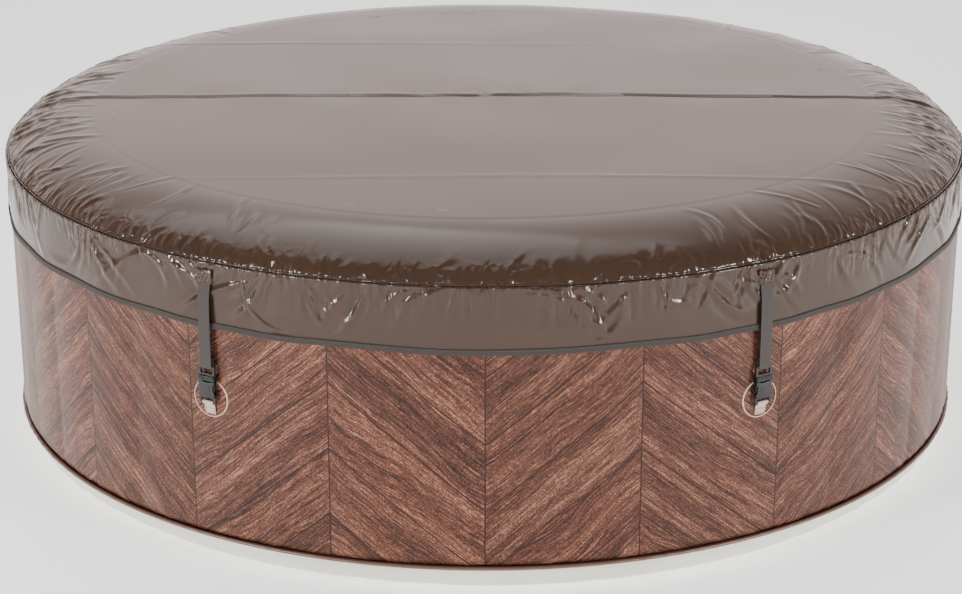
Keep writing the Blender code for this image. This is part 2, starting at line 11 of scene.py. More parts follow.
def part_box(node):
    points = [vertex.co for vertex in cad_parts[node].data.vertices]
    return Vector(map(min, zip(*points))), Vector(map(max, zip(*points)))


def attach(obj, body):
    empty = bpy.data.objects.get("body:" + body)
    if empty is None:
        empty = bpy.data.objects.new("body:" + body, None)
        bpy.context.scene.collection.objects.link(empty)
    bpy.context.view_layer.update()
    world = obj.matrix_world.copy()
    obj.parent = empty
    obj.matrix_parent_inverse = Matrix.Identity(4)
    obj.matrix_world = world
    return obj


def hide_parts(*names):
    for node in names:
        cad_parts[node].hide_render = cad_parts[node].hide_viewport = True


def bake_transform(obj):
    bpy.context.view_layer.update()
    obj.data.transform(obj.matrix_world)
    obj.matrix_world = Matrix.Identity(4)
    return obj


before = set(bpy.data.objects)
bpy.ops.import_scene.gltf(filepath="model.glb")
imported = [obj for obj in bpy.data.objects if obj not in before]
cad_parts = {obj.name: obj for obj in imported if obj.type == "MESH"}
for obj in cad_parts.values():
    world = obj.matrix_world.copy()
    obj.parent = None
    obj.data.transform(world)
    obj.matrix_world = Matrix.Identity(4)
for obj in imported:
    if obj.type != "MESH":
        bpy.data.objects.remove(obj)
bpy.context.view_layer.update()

CAD_NODES = [o for o in bpy.data.objects if o.type == "MESH"]

# ---- sizes read from the frame, metres ---------------------------------------
WALL_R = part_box("outer_wall_skin")[1].x       # a flat's middle, where straps and patches sit
WALL_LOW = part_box("outer_wall_skin")[0].z
WALL_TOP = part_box("outer_wall_skin")[1].z
LIP_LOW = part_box("base_weld_lip")[0].z
LIP_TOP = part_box("base_weld_lip")[1].z
LIP_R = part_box("base_weld_lip")[1].x
BASE_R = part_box("base_sheet")[1].x + 0.006
INNER_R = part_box("floor_sheet")[1].x
FLOOR_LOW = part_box("floor_sheet")[0].z
FLOOR_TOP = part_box("floor_sheet")[1].z
POOL_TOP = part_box("inner_wall_skin")[1].z
COVER_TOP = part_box("cover_top_front")[1].z
SKIRT_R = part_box("cover_skirt")[1].x
WELT_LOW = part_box("cover_welt")[0].z
WELT_Z = (WELT_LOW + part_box("cover_welt")[1].z) / 2
WELT_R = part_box("cover_top_rear")[1].y
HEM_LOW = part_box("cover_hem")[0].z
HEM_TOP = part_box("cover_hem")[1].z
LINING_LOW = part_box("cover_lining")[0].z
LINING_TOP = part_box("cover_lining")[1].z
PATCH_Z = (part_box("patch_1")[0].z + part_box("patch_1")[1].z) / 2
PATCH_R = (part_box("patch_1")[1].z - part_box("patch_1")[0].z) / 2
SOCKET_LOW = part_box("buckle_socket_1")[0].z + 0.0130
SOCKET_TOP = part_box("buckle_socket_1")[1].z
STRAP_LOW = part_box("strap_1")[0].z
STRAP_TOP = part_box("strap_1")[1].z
STRAP_W = 0.025
STRAP_AZ = [30 + 60 * i for i in range(6)]

# ---- the print -----------------------------------------------------------------
PRINT_LINES = 22                              # vertical joints round the wall
PANEL_W = 2 * math.pi * WALL_R / PRINT_LINES
PLANK_H = 0.1311                              # plank joint to plank joint, straight up
PLANK_SLOPE = math.tan(math.radians(39.5))
PLANK_START = 0.1714                          # height of a joint at the front line
WEB_WELDS = 2 * PRINT_LINES                   # webs welded to the wall, two to a panel


# ---- materials -----------------------------------------------------------------
def linear(code):
    parts = [int(code[i:i + 2], 16) / 255 for i in (1, 3, 5)]
    return [c / 12.92 if c < 0.04045 else ((c + 0.055) / 1.055) ** 2.4 for c in parts] + [1.0]


def add(tree, kind, links=(), stops=(), **settings):
    """Add a node with its settings and links, and give back its first output."""
    node = tree.nodes.new("ShaderNode" + kind)
    for key, value in settings.items():
        setattr(node, key, value)
    if stops:
        band = node.color_ramp.elements
        band.remove(band[1])
        band[0].position = stops[0][0]
        band[0].color = linear(stops[0][1])
        for place, colour in stops[1:]:
            band.new(place).color = linear(colour)
    live = [s for s in node.inputs if s.enabled]
    named = {s.name: s for s in reversed(live)}
    for key, value in (links if isinstance(links, dict) else dict(enumerate(links))).items():
        socket = live[key] if isinstance(key, int) else named[key]
        if isinstance(value, bpy.types.NodeSocket):
            tree.links.new(value, socket)
        else:
            socket.default_value = value
    return next((s for s in node.outputs if s.enabled), node)


def begin(name, colour, rough, **sockets):
    """A material with its colour, roughness and other constants on the shader's own sockets."""
    mat = bpy.data.materials.new(name)
    mat.use_nodes = True
    mat.diffuse_color = linear(colour)
    shader = mat.node_tree.nodes["Principled BSDF"]
    shader.inputs["Base Color"].default_value = linear(colour)
    shader.inputs["Roughness"].default_value = rough
    for key, value in sockets.items():
        shader.inputs[key.replace("_", " ")].default_value = value
    return mat, mat.node_tree, shader


def walnut_printed_pvc():
    """Calendered PVC with walnut planks gravure-printed in a chevron under a clear satin film:
    a streaked brown picture of wood with dark joints, and one even soft gloss over all of it."""
    mat, tree, shader = begin("walnut_printed_pvc", "#7B5547", 0.38, IOR=1.53,
                              Specular_IOR_Level=0.2)
    here = add(tree, "TexCoord").node.outputs["Object"]
    x, y, z = add(tree, "SeparateXYZ", [here]).node.outputs
    back = add(tree, "Math", [y, -1.0], operation="MULTIPLY")
    turn = add(tree, "Math", [x, back], operation="ARCTAN2")
    panels = add(tree, "Math", [turn, PRINT_LINES / (2 * math.pi)], operation="MULTIPLY")
    panel = add(tree, "Math", [panels], operation="FLOOR")
    mirrored = add(tree, "Math", [panels], operation="ABSOLUTE")
    away = add(tree, "Math", [mirrored, 1.0], operation="PINGPONG")
    along = add(tree, "Math", [away, PANEL_W], operation="MULTIPLY")
    rise = add(tree, "Math", [along, -PLANK_SLOPE, z], operation="MULTIPLY_ADD")
    above = add(tree, "Math", [rise, PLANK_START], operation="SUBTRACT")
    planks = add(tree, "Math", [above, PLANK_H], operation="DIVIDE")
    plank = add(tree, "Math", [planks], operation="FLOOR")
    plank_seed = add(tree, "Math", [plank, 5.77], operation="MULTIPLY")
    seed = add(tree, "Math", [panel, 17.31, plank_seed], operation="MULTIPLY_ADD")
    length = add(tree, "Math", [along, math.hypot(1, PLANK_SLOPE)], operation="MULTIPLY")
    across_grain = math.cos(math.atan(PLANK_SLOPE))
    width = add(tree, "Math", [rise, across_grain], operation="MULTIPLY")

    # no two planks came off the same board: each has its own tone and its own waviness
    pick = add(tree, "TexWhiteNoise", {"W": seed}, noise_dimensions="1D")
    # the grain wanders by 8 to 35 mm over 250 mm, which makes long waves and a few arches
    board = add(tree, "CombineXYZ", [length, width, seed])
    wander = add(tree, "TexNoise", {"Vector": board, "Scale": 4.0, "Detail": 2.0})
    sway = add(tree, "MapRange", [pick, 0.0, 1.0, 0.018, 0.085])
    bent = add(tree, "Math", [wander, sway, width], operation="MULTIPLY_ADD")
    # growth rings 4 mm apart, tone bands 40 mm apart
    drawn = add(tree, "Math", [length, 1.5], operation="MULTIPLY")
    rings_at = add(tree, "Math", [bent, 270.0], operation="MULTIPLY")
    rings_in = add(tree, "CombineXYZ", [drawn, rings_at, seed])
    rings = add(tree, "TexNoise", {"Vector": rings_in, "Scale": 1.0, "Detail": 5.0, "Roughness": 0.7})
    bands_at = add(tree, "Math", [bent, 24.0], operation="MULTIPLY")
    bands_in = add(tree, "CombineXYZ", [drawn, bands_at, seed])
    bands = add(tree, "TexNoise", {"Vector": bands_in, "Scale": 1.0, "Detail": 2.0})
    # streaks 2 mm wide and 30 mm long, and printed grains 3 mm across, coarse enough to show
    streaks_long = add(tree, "Math", [length, 30.0], operation="MULTIPLY")
    streaks_wide = add(tree, "Math", [bent, 520.0], operation="MULTIPLY")
    streaks_in = add(tree, "CombineXYZ", [streaks_long, streaks_wide, seed])
    streaks = add(tree, "TexNoise", {"Vector": streaks_in, "Scale": 1.0, "Detail": 2.0})
    grains = add(tree, "TexNoise", {"Vector": here, "Scale": 330.0, "Detail": 1.0})
    tone = add(tree, "Math", [rings, 0.30], operation="MULTIPLY")
    tone = add(tree, "Math", [bands, 0.18, tone], operation="MULTIPLY_ADD")
    tone = add(tree, "Math", [streaks, 0.30, tone], operation="MULTIPLY_ADD")
    tone = add(tree, "Math", [grains, 0.22, tone], operation="MULTIPLY_ADD")
    wood = add(tree, "ValToRGB", [tone], WOOD_TONES)
    board_tone = add(tree, "MapRange", [pick, 0.0, 1.0, 0.78, 1.12])
    wood = add(tree, "Mix", [1.0, wood, board_tone], data_type="RGBA", blend_type="MULTIPLY")
    # printed joints 2 to 3 mm wide
    half_plank = add(tree, "Math", [planks, 0.5], operation="PINGPONG")
    to_joint = add(tree, "Math", [half_plank, PLANK_H * across_grain], operation="MULTIPLY")
    half_panel = add(tree, "Math", [mirrored, 0.5], operation="PINGPONG")
    to_line = add(tree, "Math", [half_panel, PANEL_W], operation="MULTIPLY")
    nearest = add(tree, "Math", [to_joint, to_line], operation="MINIMUM")
    inside = add(tree, "MapRange", [nearest, 0.0008, 0.0017, 0.0, 1.0])
    wood = add(tree, "Mix", [inside, linear("#24110C"), wood], data_type="RGBA")
    tree.links.new(wood, shader.inputs["Base Color"])
    pressed = add(tree, "TexNoise", {"Vector": here, "Scale": 900.0, "Detail": 2.0})
    bump = add(tree, "Bump", {"Height": pressed, "Strength": 0.2, "Distance": 0.0004})
    tree.links.new(bump, shader.inputs["Normal"])
    return mat


WOOD_TONES = [(0.40, "#1B0C08"), (0.455, "#382018"), (0.50, "#502F22"), (0.55, "#684234"), (0.60, "#946C56")]


def calendered_pvc(name, colour, rough, grain=500.0, shine=0.5, creased=False):
    """PVC rolled to a sheet between steel rolls: smooth, a little waxy, with a fine pressed grain
    2 mm across and a gloss that is never quite even; a sewn sheet is also crinkled by its seam."""
    mat, tree, shader = begin(name, colour, rough, IOR=1.53, Specular_IOR_Level=shine)
    here = add(tree, "TexCoord").node.outputs["Object"]
    pressed = add(tree, "TexNoise", {"Vector": here, "Scale": grain, "Detail": 2.0})
    cloud = add(tree, "TexNoise", {"Vector": here, "Scale": 3.0, "Detail": 3.0})
    tint = add(tree, "MapRange", [cloud, 0.3, 0.7, 0.93, 1.07])
    tinted = add(tree, "Mix", [1.0, linear(colour), tint], data_type="RGBA", blend_type="MULTIPLY")
    tree.links.new(tinted, shader.inputs["Base Color"])
    dull = add(tree, "MapRange", [cloud, 0.3, 0.7, rough - 0.04, rough + 0.05])
    tree.links.new(dull, shader.inputs["Roughness"])
    skin = {"Height": pressed, "Strength": 0.10, "Distance": 0.0006}
    if creased:
        # sharp creases 20 to 40 mm apart, in patches 150 mm wide, from 40 mm above the welt to
        # 84 mm below it
        x, y, z = add(tree, "SeparateXYZ", [here]).node.outputs
        drawn_down = add(tree, "Math", [z, 0.30], operation="MULTIPLY")
        drawn = add(tree, "CombineXYZ", [x, y, drawn_down])
        buckle = add(tree, "TexNoise", {"Vector": drawn, "Scale": 30.0, "Detail": 2.0, "Roughness": 0.4,
                                        "Distortion": 0.3})
        ridge = add(tree, "Math", [buckle, 0.5], operation="SUBTRACT")
        ridge = add(tree, "Math", [ridge], operation="ABSOLUTE")
        ridge = add(tree, "Math", [ridge, -1.0], operation="MULTIPLY")
        from_welt = add(tree, "Math", [z, WELT_Z - 0.022], operation="SUBTRACT")
        from_welt = add(tree, "Math", [from_welt], operation="ABSOLUTE")
        near_welt = add(tree, "MapRange", [from_welt, 0.020, 0.062, 1.0, 0.0])
        patches = add(tree, "TexNoise", {"Vector": here, "Scale": 6.5, "Detail": 1.0})
        slack = add(tree, "MapRange", [patches, 0.42, 0.56, 0.10, 1.0])
        share = add(tree, "Math", [near_welt, slack], operation="MULTIPLY")
        crinkle = add(tree, "Math", [ridge, share], operation="MULTIPLY")
        skin["Normal"] = add(tree, "Bump", {"Height": crinkle, "Strength": 1.0, "Distance": 0.022})
    bump = add(tree, "Bump", skin)
    tree.links.new(bump, shader.inputs["Normal"])
    return mat


def woven_tape(name, colour, pitch):
    """Woven tape of spun yarn: dry and slightly fuzzy, with a rib for each pair of yarns."""
    mat, tree, shader = begin(name, colour, 0.85, Sheen_Weight=0.05)
    here = add(tree, "TexCoord").node.outputs["Object"]
    # a wave node makes one band in 0.314 / scale metres
    ribs = add(tree, "TexWave", {"Vector": here, "Scale": 0.314 / pitch, "Distortion": 0.5},
               bands_direction="Z")
    yarn = add(tree, "TexNoise", {"Vector": here, "Scale": 800.0, "Detail": 3.0})
    fuzz = add(tree, "Math", [yarn, 0.7], operation="MULTIPLY")
    weave = add(tree, "Math", [ribs, 0.4, fuzz], operation="MULTIPLY_ADD")
    tint = add(tree, "MapRange", [weave, 0.2, 0.9, 0.72, 1.22])
    tinted = add(tree, "Mix", [1.0, linear(colour), tint], data_type="RGBA", blend_type="MULTIPLY")
    tree.links.new(tinted, shader.inputs["Base Color"])
    bump = add(tree, "Bump", {"Height": weave, "Strength": 0.5, "Distance": 0.0006})
    tree.links.new(bump, shader.inputs["Normal"])
    return mat


def moulded_plastic(name, colour, rough, grain=1600.0, strength=0.08):
    """Injection-moulded plastic: one even colour, a spark-eroded grain 0.6 mm across from the
    tool, and gloss that changes slightly where the melt flowed."""
    mat, tree, shader = begin(name, colour, rough, IOR=1.49)
    here = add(tree, "TexCoord").node.outputs["Object"]
    spark = add(tree, "TexNoise", {"Vector": here, "Scale": grain, "Detail": 2.0})
    flow = add(tree, "TexNoise", {"Vector": here, "Scale": 30.0, "Detail": 2.0})
    dull = add(tree, "MapRange", [flow, 0.3, 0.7, rough - 0.05, rough + 0.06])
    tree.links.new(dull, shader.inputs["Roughness"])
    tint = add(tree, "MapRange", [flow, 0.3, 0.7, 0.96, 1.04])
    tinted = add(tree, "Mix", [1.0, linear(colour), tint], data_type="RGBA", blend_type="MULTIPLY")
    tree.links.new(tinted, shader.inputs["Base Color"])
    bump = add(tree, "Bump", {"Height": spark, "Strength": strength, "Distance": 0.0003})
    tree.links.new(bump, shader.inputs["Normal"])
    return mat


def drawn_stainless():
    """Stainless tube drawn through a die: grey metal with faint drawing lines 1 mm apart."""
    mat, tree, shader = begin("drawn_stainless_tube", "#B5B7B8", 0.28, Metallic=1.0)
    here = add(tree, "TexCoord").node.outputs["Object"]
    lines = add(tree, "TexWave", {"Vector": here, "Scale": 314.0, "Distortion": 2.0}, bands_direction="X")
    dull = add(tree, "MapRange", [lines, 0.0, 1.0, 0.24, 0.34])
    tree.links.new(dull, shader.inputs["Roughness"])
    return mat


def pleated_cloth():
    """Spun-bonded polyester filter cloth: white, matt and fibrous, with 1 mm fibre clumps."""
    mat, tree, shader = begin("pleated_filter_cloth", "#E8E6DE", 0.92)
    here = add(tree, "TexCoord").node.outputs["Object"]
    fibre = add(tree, "TexNoise", {"Vector": here, "Scale": 900.0, "Detail": 4.0})
    bump = add(tree, "Bump", {"Height": fibre, "Strength": 0.4, "Distance": 0.0006})
    tree.links.new(bump, shader.inputs["Normal"])
    return mat


def lacquered_board():
    """Glass-epoxy board under green solder lacquer, with copper tracks 4 mm apart showing through."""
    mat, tree, shader = begin("lacquered_circuit_board", "#1F5A38", 0.35)
    here = add(tree, "TexCoord").node.outputs["Object"]
    cells = add(tree, "TexVoronoi", {"Vector": here, "Scale": 240.0}, distance="CHEBYCHEV")
    tracks = add(tree, "ValToRGB", [cells], [(0.15, "#2C7A4C"), (0.35, "#1F5A38")])
    tree.links.new(tracks, shader.inputs["Base Color"])
    return mat


WOOD = walnut_printed_pvc()
COVER_PVC = calendered_pvc("cover_calendered_pvc", "#392A21", 0.18, shine=0.28, creased=True)
BASE_PVC = calendered_pvc("base_calendered_pvc", "#CDCBBD", 0.42)
LIP_PVC = calendered_pvc("lip_welded_pvc", "#5A3E33", 0.40)
POOL_PVC = calendered_pvc("pool_calendered_pvc", "#B4B9B8", 0.35)
FILM_PVC = calendered_pvc("lining_blown_pvc_film", "#A9ACAB", 0.32, 300.0)
BINDING = woven_tape("binding_woven_polyester", "#29231F", 0.0016)
WEBBING = woven_tape("strap_woven_polypropylene", "#342F2C", 0.0022)
LOOP_WEB = woven_tape("loop_woven_polyester", "#B39F93", 0.0018)
THREAD = woven_tape("seam_bonded_thread", "#4A423C", 0.0008)
OUTLINE = calendered_pvc("patch_edge_welded_pvc", "#C6A58E", 0.45)
ACETAL = moulded_plastic("buckle_moulded_acetal", "#090909", 0.28)
UNIT_ABS = moulded_plastic("unit_moulded_abs", "#4A4845", 0.45, 700.0, 0.3)
TRIM_ABS = moulded_plastic("trim_moulded_abs", "#C8C8C4", 0.35)
STEEL = drawn_stainless()
CLOTH = pleated_cloth()
BOARD = lacquered_board()
SLOT_LOOK = {
    "printed_wall": WOOD, "cover_vinyl": COVER_PVC, "edge_binding": BINDING, "base_vinyl": BASE_PVC,
    "pool_vinyl": POOL_PVC, "thin_vinyl": FILM_PVC, "webbing": WEBBING, "buckle_plastic": ACETAL,
    "unit_plastic": UNIT_ABS, "trim_plastic": TRIM_ABS, "filter_paper": CLOTH, "heater_steel": STEEL,
    "circuit_board": BOARD}


# ---- piece helpers -------------------------------------------------------------
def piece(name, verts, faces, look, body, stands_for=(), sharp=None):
    """A new piece with its finish, on its body, in place of the nodes that it stands for."""
    mesh = bpy.data.meshes.new(name)
    mesh.from_pydata([tuple(v) for v in verts], [], faces)
    bm = bmesh.new()
    bm.from_mesh(mesh)
    bmesh.ops.recalc_face_normals(bm, faces=bm.faces)
    bm.to_mesh(mesh)
    bm.free()
    mesh.shade_smooth()
    if sharp:
        mesh.set_sharp_from_angle(angle=math.radians(sharp))
    obj = bpy.data.objects.new(name, mesh)
    bpy.context.scene.collection.objects.link(obj)
    mesh.materials.append(look)
    if body:
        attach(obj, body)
    if stands_for:
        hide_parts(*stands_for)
    return obj


def ring_faces(counts, closed):
    """Faces between rings of points; a ring may have fewer points than its neighbour, or one."""
    starts = [sum(counts[:i]) for i in range(len(counts))]
    pairs = [(i, i + 1) for i in range(len(counts) - 1)] + ([(len(counts) - 1, 0)] if closed else [])
    faces = []
    for low, top in pairs:
        few, many = sorted((low, top), key=lambda i: counts[i])
        n, m = counts[few], counts[many]
        if m == 1:
            continue
        if n == 1:
            faces += [(starts[few], starts[many] + i, starts[many] + (i + 1) % m) for i in range(m)]
            continue
        k = m // n
        for i in range(n):
            wide = [starts[many] + (i * k + j) % m for j in range(k + 1)]
            faces.append((starts[few] + i, *wide, starts[few] + (i + 1) % n))
    return faces


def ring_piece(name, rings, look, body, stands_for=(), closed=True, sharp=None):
    faces = ring_faces([len(r) for r in rings], closed)
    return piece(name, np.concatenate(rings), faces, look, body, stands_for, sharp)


def azimuths(count):
    """Angles from the front, evenly round; plus is towards +X."""
    return np.arange(count) * (2 * math.pi / count) - math.pi


def ring(r, z, count):
    a = azimuths(count)
    r = np.broadcast_to(r, a.shape)
    z = np.broadcast_to(z, a.shape)
    return np.stack([r * np.sin(a), -r * np.cos(a), z], 1)


def drift(a, v, seed, waves, highest, v_scale):
    """Seamless slow noise over azimuth a and distance v, about -1 to 1."""
    rng = np.random.default_rng(seed)
    total = 0.0
    for _ in range(waves):
        m = int(rng.integers(1, highest + 1))
        total = total + np.sin(m * a + rng.uniform(-v_scale, v_scale) * v + rng.uniform(0, 2 * math.pi))
    return total / math.sqrt(waves)


def front_frame(azimuth, z=0.0):
    """Local X along the wall, local -Y out of it, at an azimuth."""
    return Matrix.Rotation(math.radians(azimuth), 4, "Z") @ Matrix.Translation((0, -WALL_R, z))


def span(node):
    """Low corner, high corner and middle of a node's box."""
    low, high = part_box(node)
    return low, high, (low + high) / 2


def swept_faces(rows, count):
    """Faces of a closed section of count points swept along rows, with both ends capped."""
    faces = []
    for i in range(rows - 1):
        for j in range(count):
            k = (j + 1) % count
            faces.append((i * count + j, i * count + k, (i + 1) * count + k, (i + 1) * count + j))
    return faces + [tuple(range(count)), tuple((rows - 1) * count + j for j in range(count))[::-1]]


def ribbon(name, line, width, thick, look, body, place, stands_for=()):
    """A tape that follows a line of (out from the wall, height) points, centred on local X."""
    line = np.array(line)
    lengths = np.r_[0, np.cumsum(np.hypot(*np.diff(line, axis=0).T))]
    at = np.linspace(0, lengths[-1], max(8, int(lengths[-1] / 0.0015)))
    # a line of points through the corners, eased so that the tape bends and doesn't crease
    n, z = (np.interp(at, lengths, line[:, k]) for k in (0, 1))
    for _ in range(6):
        n[1:-1] = (n[:-2] + 2 * n[1:-1] + n[2:]) / 4
        z[1:-1] = (z[:-2] + 2 * z[1:-1] + z[2:]) / 4
    dn, dz = np.gradient(n), np.gradient(z)
    size = np.hypot(dn, dz)
    side_n, side_z = dz / size, -dn / size
    across = np.linspace(-width / 2, width / 2, 9)
    loop = [(x, 1) for x in across] + [(x, -1) for x in across[::-1]]
    verts = []
    for i in range(len(at)):
        for x, side in loop:
            edge = 0.55 if abs(abs(x) - width / 2) < 1e-6 else 1.0
            push = side * thick / 2 * edge
            out = n[i] + side_n[i] * push
            verts.append(place @ Vector((x, -out, z[i] + side_z[i] * push)))
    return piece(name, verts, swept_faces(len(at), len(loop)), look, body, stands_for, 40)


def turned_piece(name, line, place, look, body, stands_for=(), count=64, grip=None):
    """A turned part from (radius, height) points, first and last on its axis; grip flutes the rim."""
    rings = []
    for r, h in line:
        if r < 1e-6:
            rings.append(np.array([[0.0, 0.0, h]]))
            continue
        a = azimuths(count)
        radius = r * (1 + (grip(a) if grip and r > grip_from(line) else 0.0))
        rings.append(np.stack([radius * np.cos(a), radius * np.sin(a), np.full(count, h)], 1))
    verts = [place @ Vector(v) for v in np.concatenate(rings)]
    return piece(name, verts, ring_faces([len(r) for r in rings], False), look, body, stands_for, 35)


def grip_from(line):
    return 0.93 * max(r for r, _ in line)


def plate(outline, holes, near, far, bevel):
    """A moulded plate: an outline in local X and Z with holes, between two distances out."""
    bm = bmesh.new()
    for loop in [outline] + holes:
        corners = [bm.verts.new((x, -near, z)) for x, z in loop]
        for i in range(len(corners)):
            bm.edges.new((corners[i], corners[(i + 1) % len(corners)]))
    bmesh.ops.triangle_fill(bm, edges=bm.edges, use_beauty=True, use_dissolve=False)
    made = bmesh.ops.extrude_face_region(bm, geom=bm.faces[:])["geom"]
    raised = [v for v in made if isinstance(v, bmesh.types.BMVert)]
    bmesh.ops.translate(bm, vec=(0, near - far, 0), verts=raised)
    bmesh.ops.recalc_face_normals(bm, faces=bm.faces)
    if bevel:
        edges = [e for e in bm.edges if e.is_manifold and e.calc_face_angle() > math.radians(50)
                 and abs((e.verts[0].co - e.verts[1].co).y) < 1e-6]
        bmesh.ops.bevel(bm, geom=edges, offset=bevel, segments=3, profile=0.5, affect="EDGES",
                        clamp_overlap=True)
    mesh = bpy.data.meshes.new("plate")
    bm.to_mesh(mesh)
    bm.free()
    return mesh


def rounded(x0, x1, z0, z1, r):
    """Outline of a rectangle with round corners."""
    points = []
    steps = 5
    corners = ((x1 - r, z0 + r, -90), (x1 - r, z1 - r, 0), (x0 + r, z1 - r, 90), (x0 + r, z0 + r, 180))
    for cx, cz, start in corners:
        for i in range(steps + 1):
            a = math.radians(start + 90 * i / steps)
            points.append((cx + r * math.cos(a), cz + r * math.sin(a)))
    return points


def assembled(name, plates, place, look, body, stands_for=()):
    """One piece from several moulded plates."""
    verts, faces = [], []
    for mesh in plates:
        start = len(verts)
        verts += [place @ v.co for v in mesh.vertices]
        faces += [tuple(start + i for i in f.vertices) for f in mesh.polygons]
        bpy.data.meshes.remove(mesh)
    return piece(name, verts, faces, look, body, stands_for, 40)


def stitches(name, path, pitch, length, body, look=None, slot="edge_binding", thick=0.0007):
    """A row of raised stitches along a path of points, each with the direction out of its sheet."""
    verts, faces = [], []
    gone, due = 0.0, 0.0
    for (p0, out), (p1, _) in zip(path, path[1:]):
        step = (p1 - p0).length
        while due <= gone + step:
            along = (p1 - p0).normalized()
            centre = p0 + along * (due - gone)
            side = along.cross(out)
            start = len(verts)
            verts.append(centre - along * length / 2)
            for t, size in ((-0.3, 0.9), (0.0, 1.0), (0.3, 0.9)):
                for across, up in ((1, 0), (0, 1), (-1, 0), (0, -1)):
                    verts.append(centre + along * t * length + (side * across + out * up) * size * thick)
            verts.append(centre + along * length / 2)
            for j in range(4):
                k = (j + 1) % 4
                faces.append((start, start + 1 + j, start + 1 + k))
                for ring_at in (start + 1, start + 5):
                    faces.append((ring_at + j, ring_at + 4 + j, ring_at + 4 + k, ring_at + k))
                faces.append((start + 13, start + 9 + k, start + 9 + j))
            due += pitch
        gone += step
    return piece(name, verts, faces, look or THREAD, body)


# ---- cover: shape and folds ------------------------------------------------------
COVER_COLS = 1800
BACK_COLS = COVER_COLS // 4                   # enough for the side that is out of sight
SKIRT_SEAM = math.radians(0.8)                # azimuth of the skirt's upright seam
COARSE_STITCH = (0.0060, 0.0042)              # pitch and length
FINE_STITCH = (0.0050, 0.0034)
SHOULDER_R = 0.8396                           # where the flat top turns over
CROWN = 0.005
SHOULDER_TURN = math.radians(79.5)
SHOULDER_STEPS = 72


def shoulder_point(t):
    """Radius, height and tilt on the shoulder; t is 0 at the flat top and 1 at the welt."""
    tilt = SHOULDER_TURN * t
    reach = (WELT_R - SHOULDER_R) / math.sin(SHOULDER_TURN)
    fall = (COVER_TOP - CROWN - WELT_Z + 0.002) / (1 - math.cos(SHOULDER_TURN))
    return SHOULDER_R + reach * math.sin(tilt), COVER_TOP - CROWN - fall * (1 - math.cos(tilt)), tilt


SHOULDER = [shoulder_point(1 - (i / SHOULDER_STEPS) ** 1.25) for i in range(SHOULDER_STEPS + 1)]
SHOULDER_GONE = [0.0]                         # distance from the welt, minus above it
for (r0, z0, _), (r1, z1, _) in zip(SHOULDER, SHOULDER[1:]):
    SHOULDER_GONE.append(SHOULDER_GONE[-1] - math.hypot(r1 - r0, z1 - z0))
SKIRT_GONE = np.linspace(0.0024, WELT_Z - HEM_LOW - 0.003, 44)
ROWS = np.array(SHOULDER_GONE[::-1] + list(SKIRT_GONE))
ARC = azimuths(COVER_COLS) * WELT_R
TURN = 2 * math.pi * WELT_R


def crease(relief, a0, v0, a1, v1, height, width, bow=0.0):
    """Raise one bowed, tapering fold with a valley beside it, from (a0, v0) to (a1, v1)."""
    length = math.hypot(a1 - a0, v1 - v0)
    reach = 4 * width + abs(bow) * length
    rows = np.nonzero((ROWS > min(v0, v1) - reach) & (ROWS < max(v0, v1) + reach))[0]
    middle = (a0 + a1) / 2
    off = (ARC - middle + TURN / 2) % TURN - TURN / 2
    cols = np.nonzero(np.abs(off) < abs(a1 - a0) / 2 + reach)[0]
    a = off[cols][None, :] + middle - a0
    v = ROWS[rows][:, None] - v0
    go_a, go_v = (a1 - a0) / length, (v1 - v0) / length
    t = (a * go_a + v * go_v) / length
    inside = np.clip(t, 0, 1)
    side = v * go_a - a * go_v - bow * length * 4 * inside * (1 - inside)
    taper = inside ** 0.45 * (1 - inside) ** 0.9 * 1.6
    wide = width * (0.55 + 0.9 * inside)
    ridge = np.exp(-np.abs(side / wide) ** 1.6) - 0.55 * np.exp(-((side - 2.0 * wide) / (1.3 * wide)) ** 2)
    relief[np.ix_(rows, cols)] += height * taper * ridge


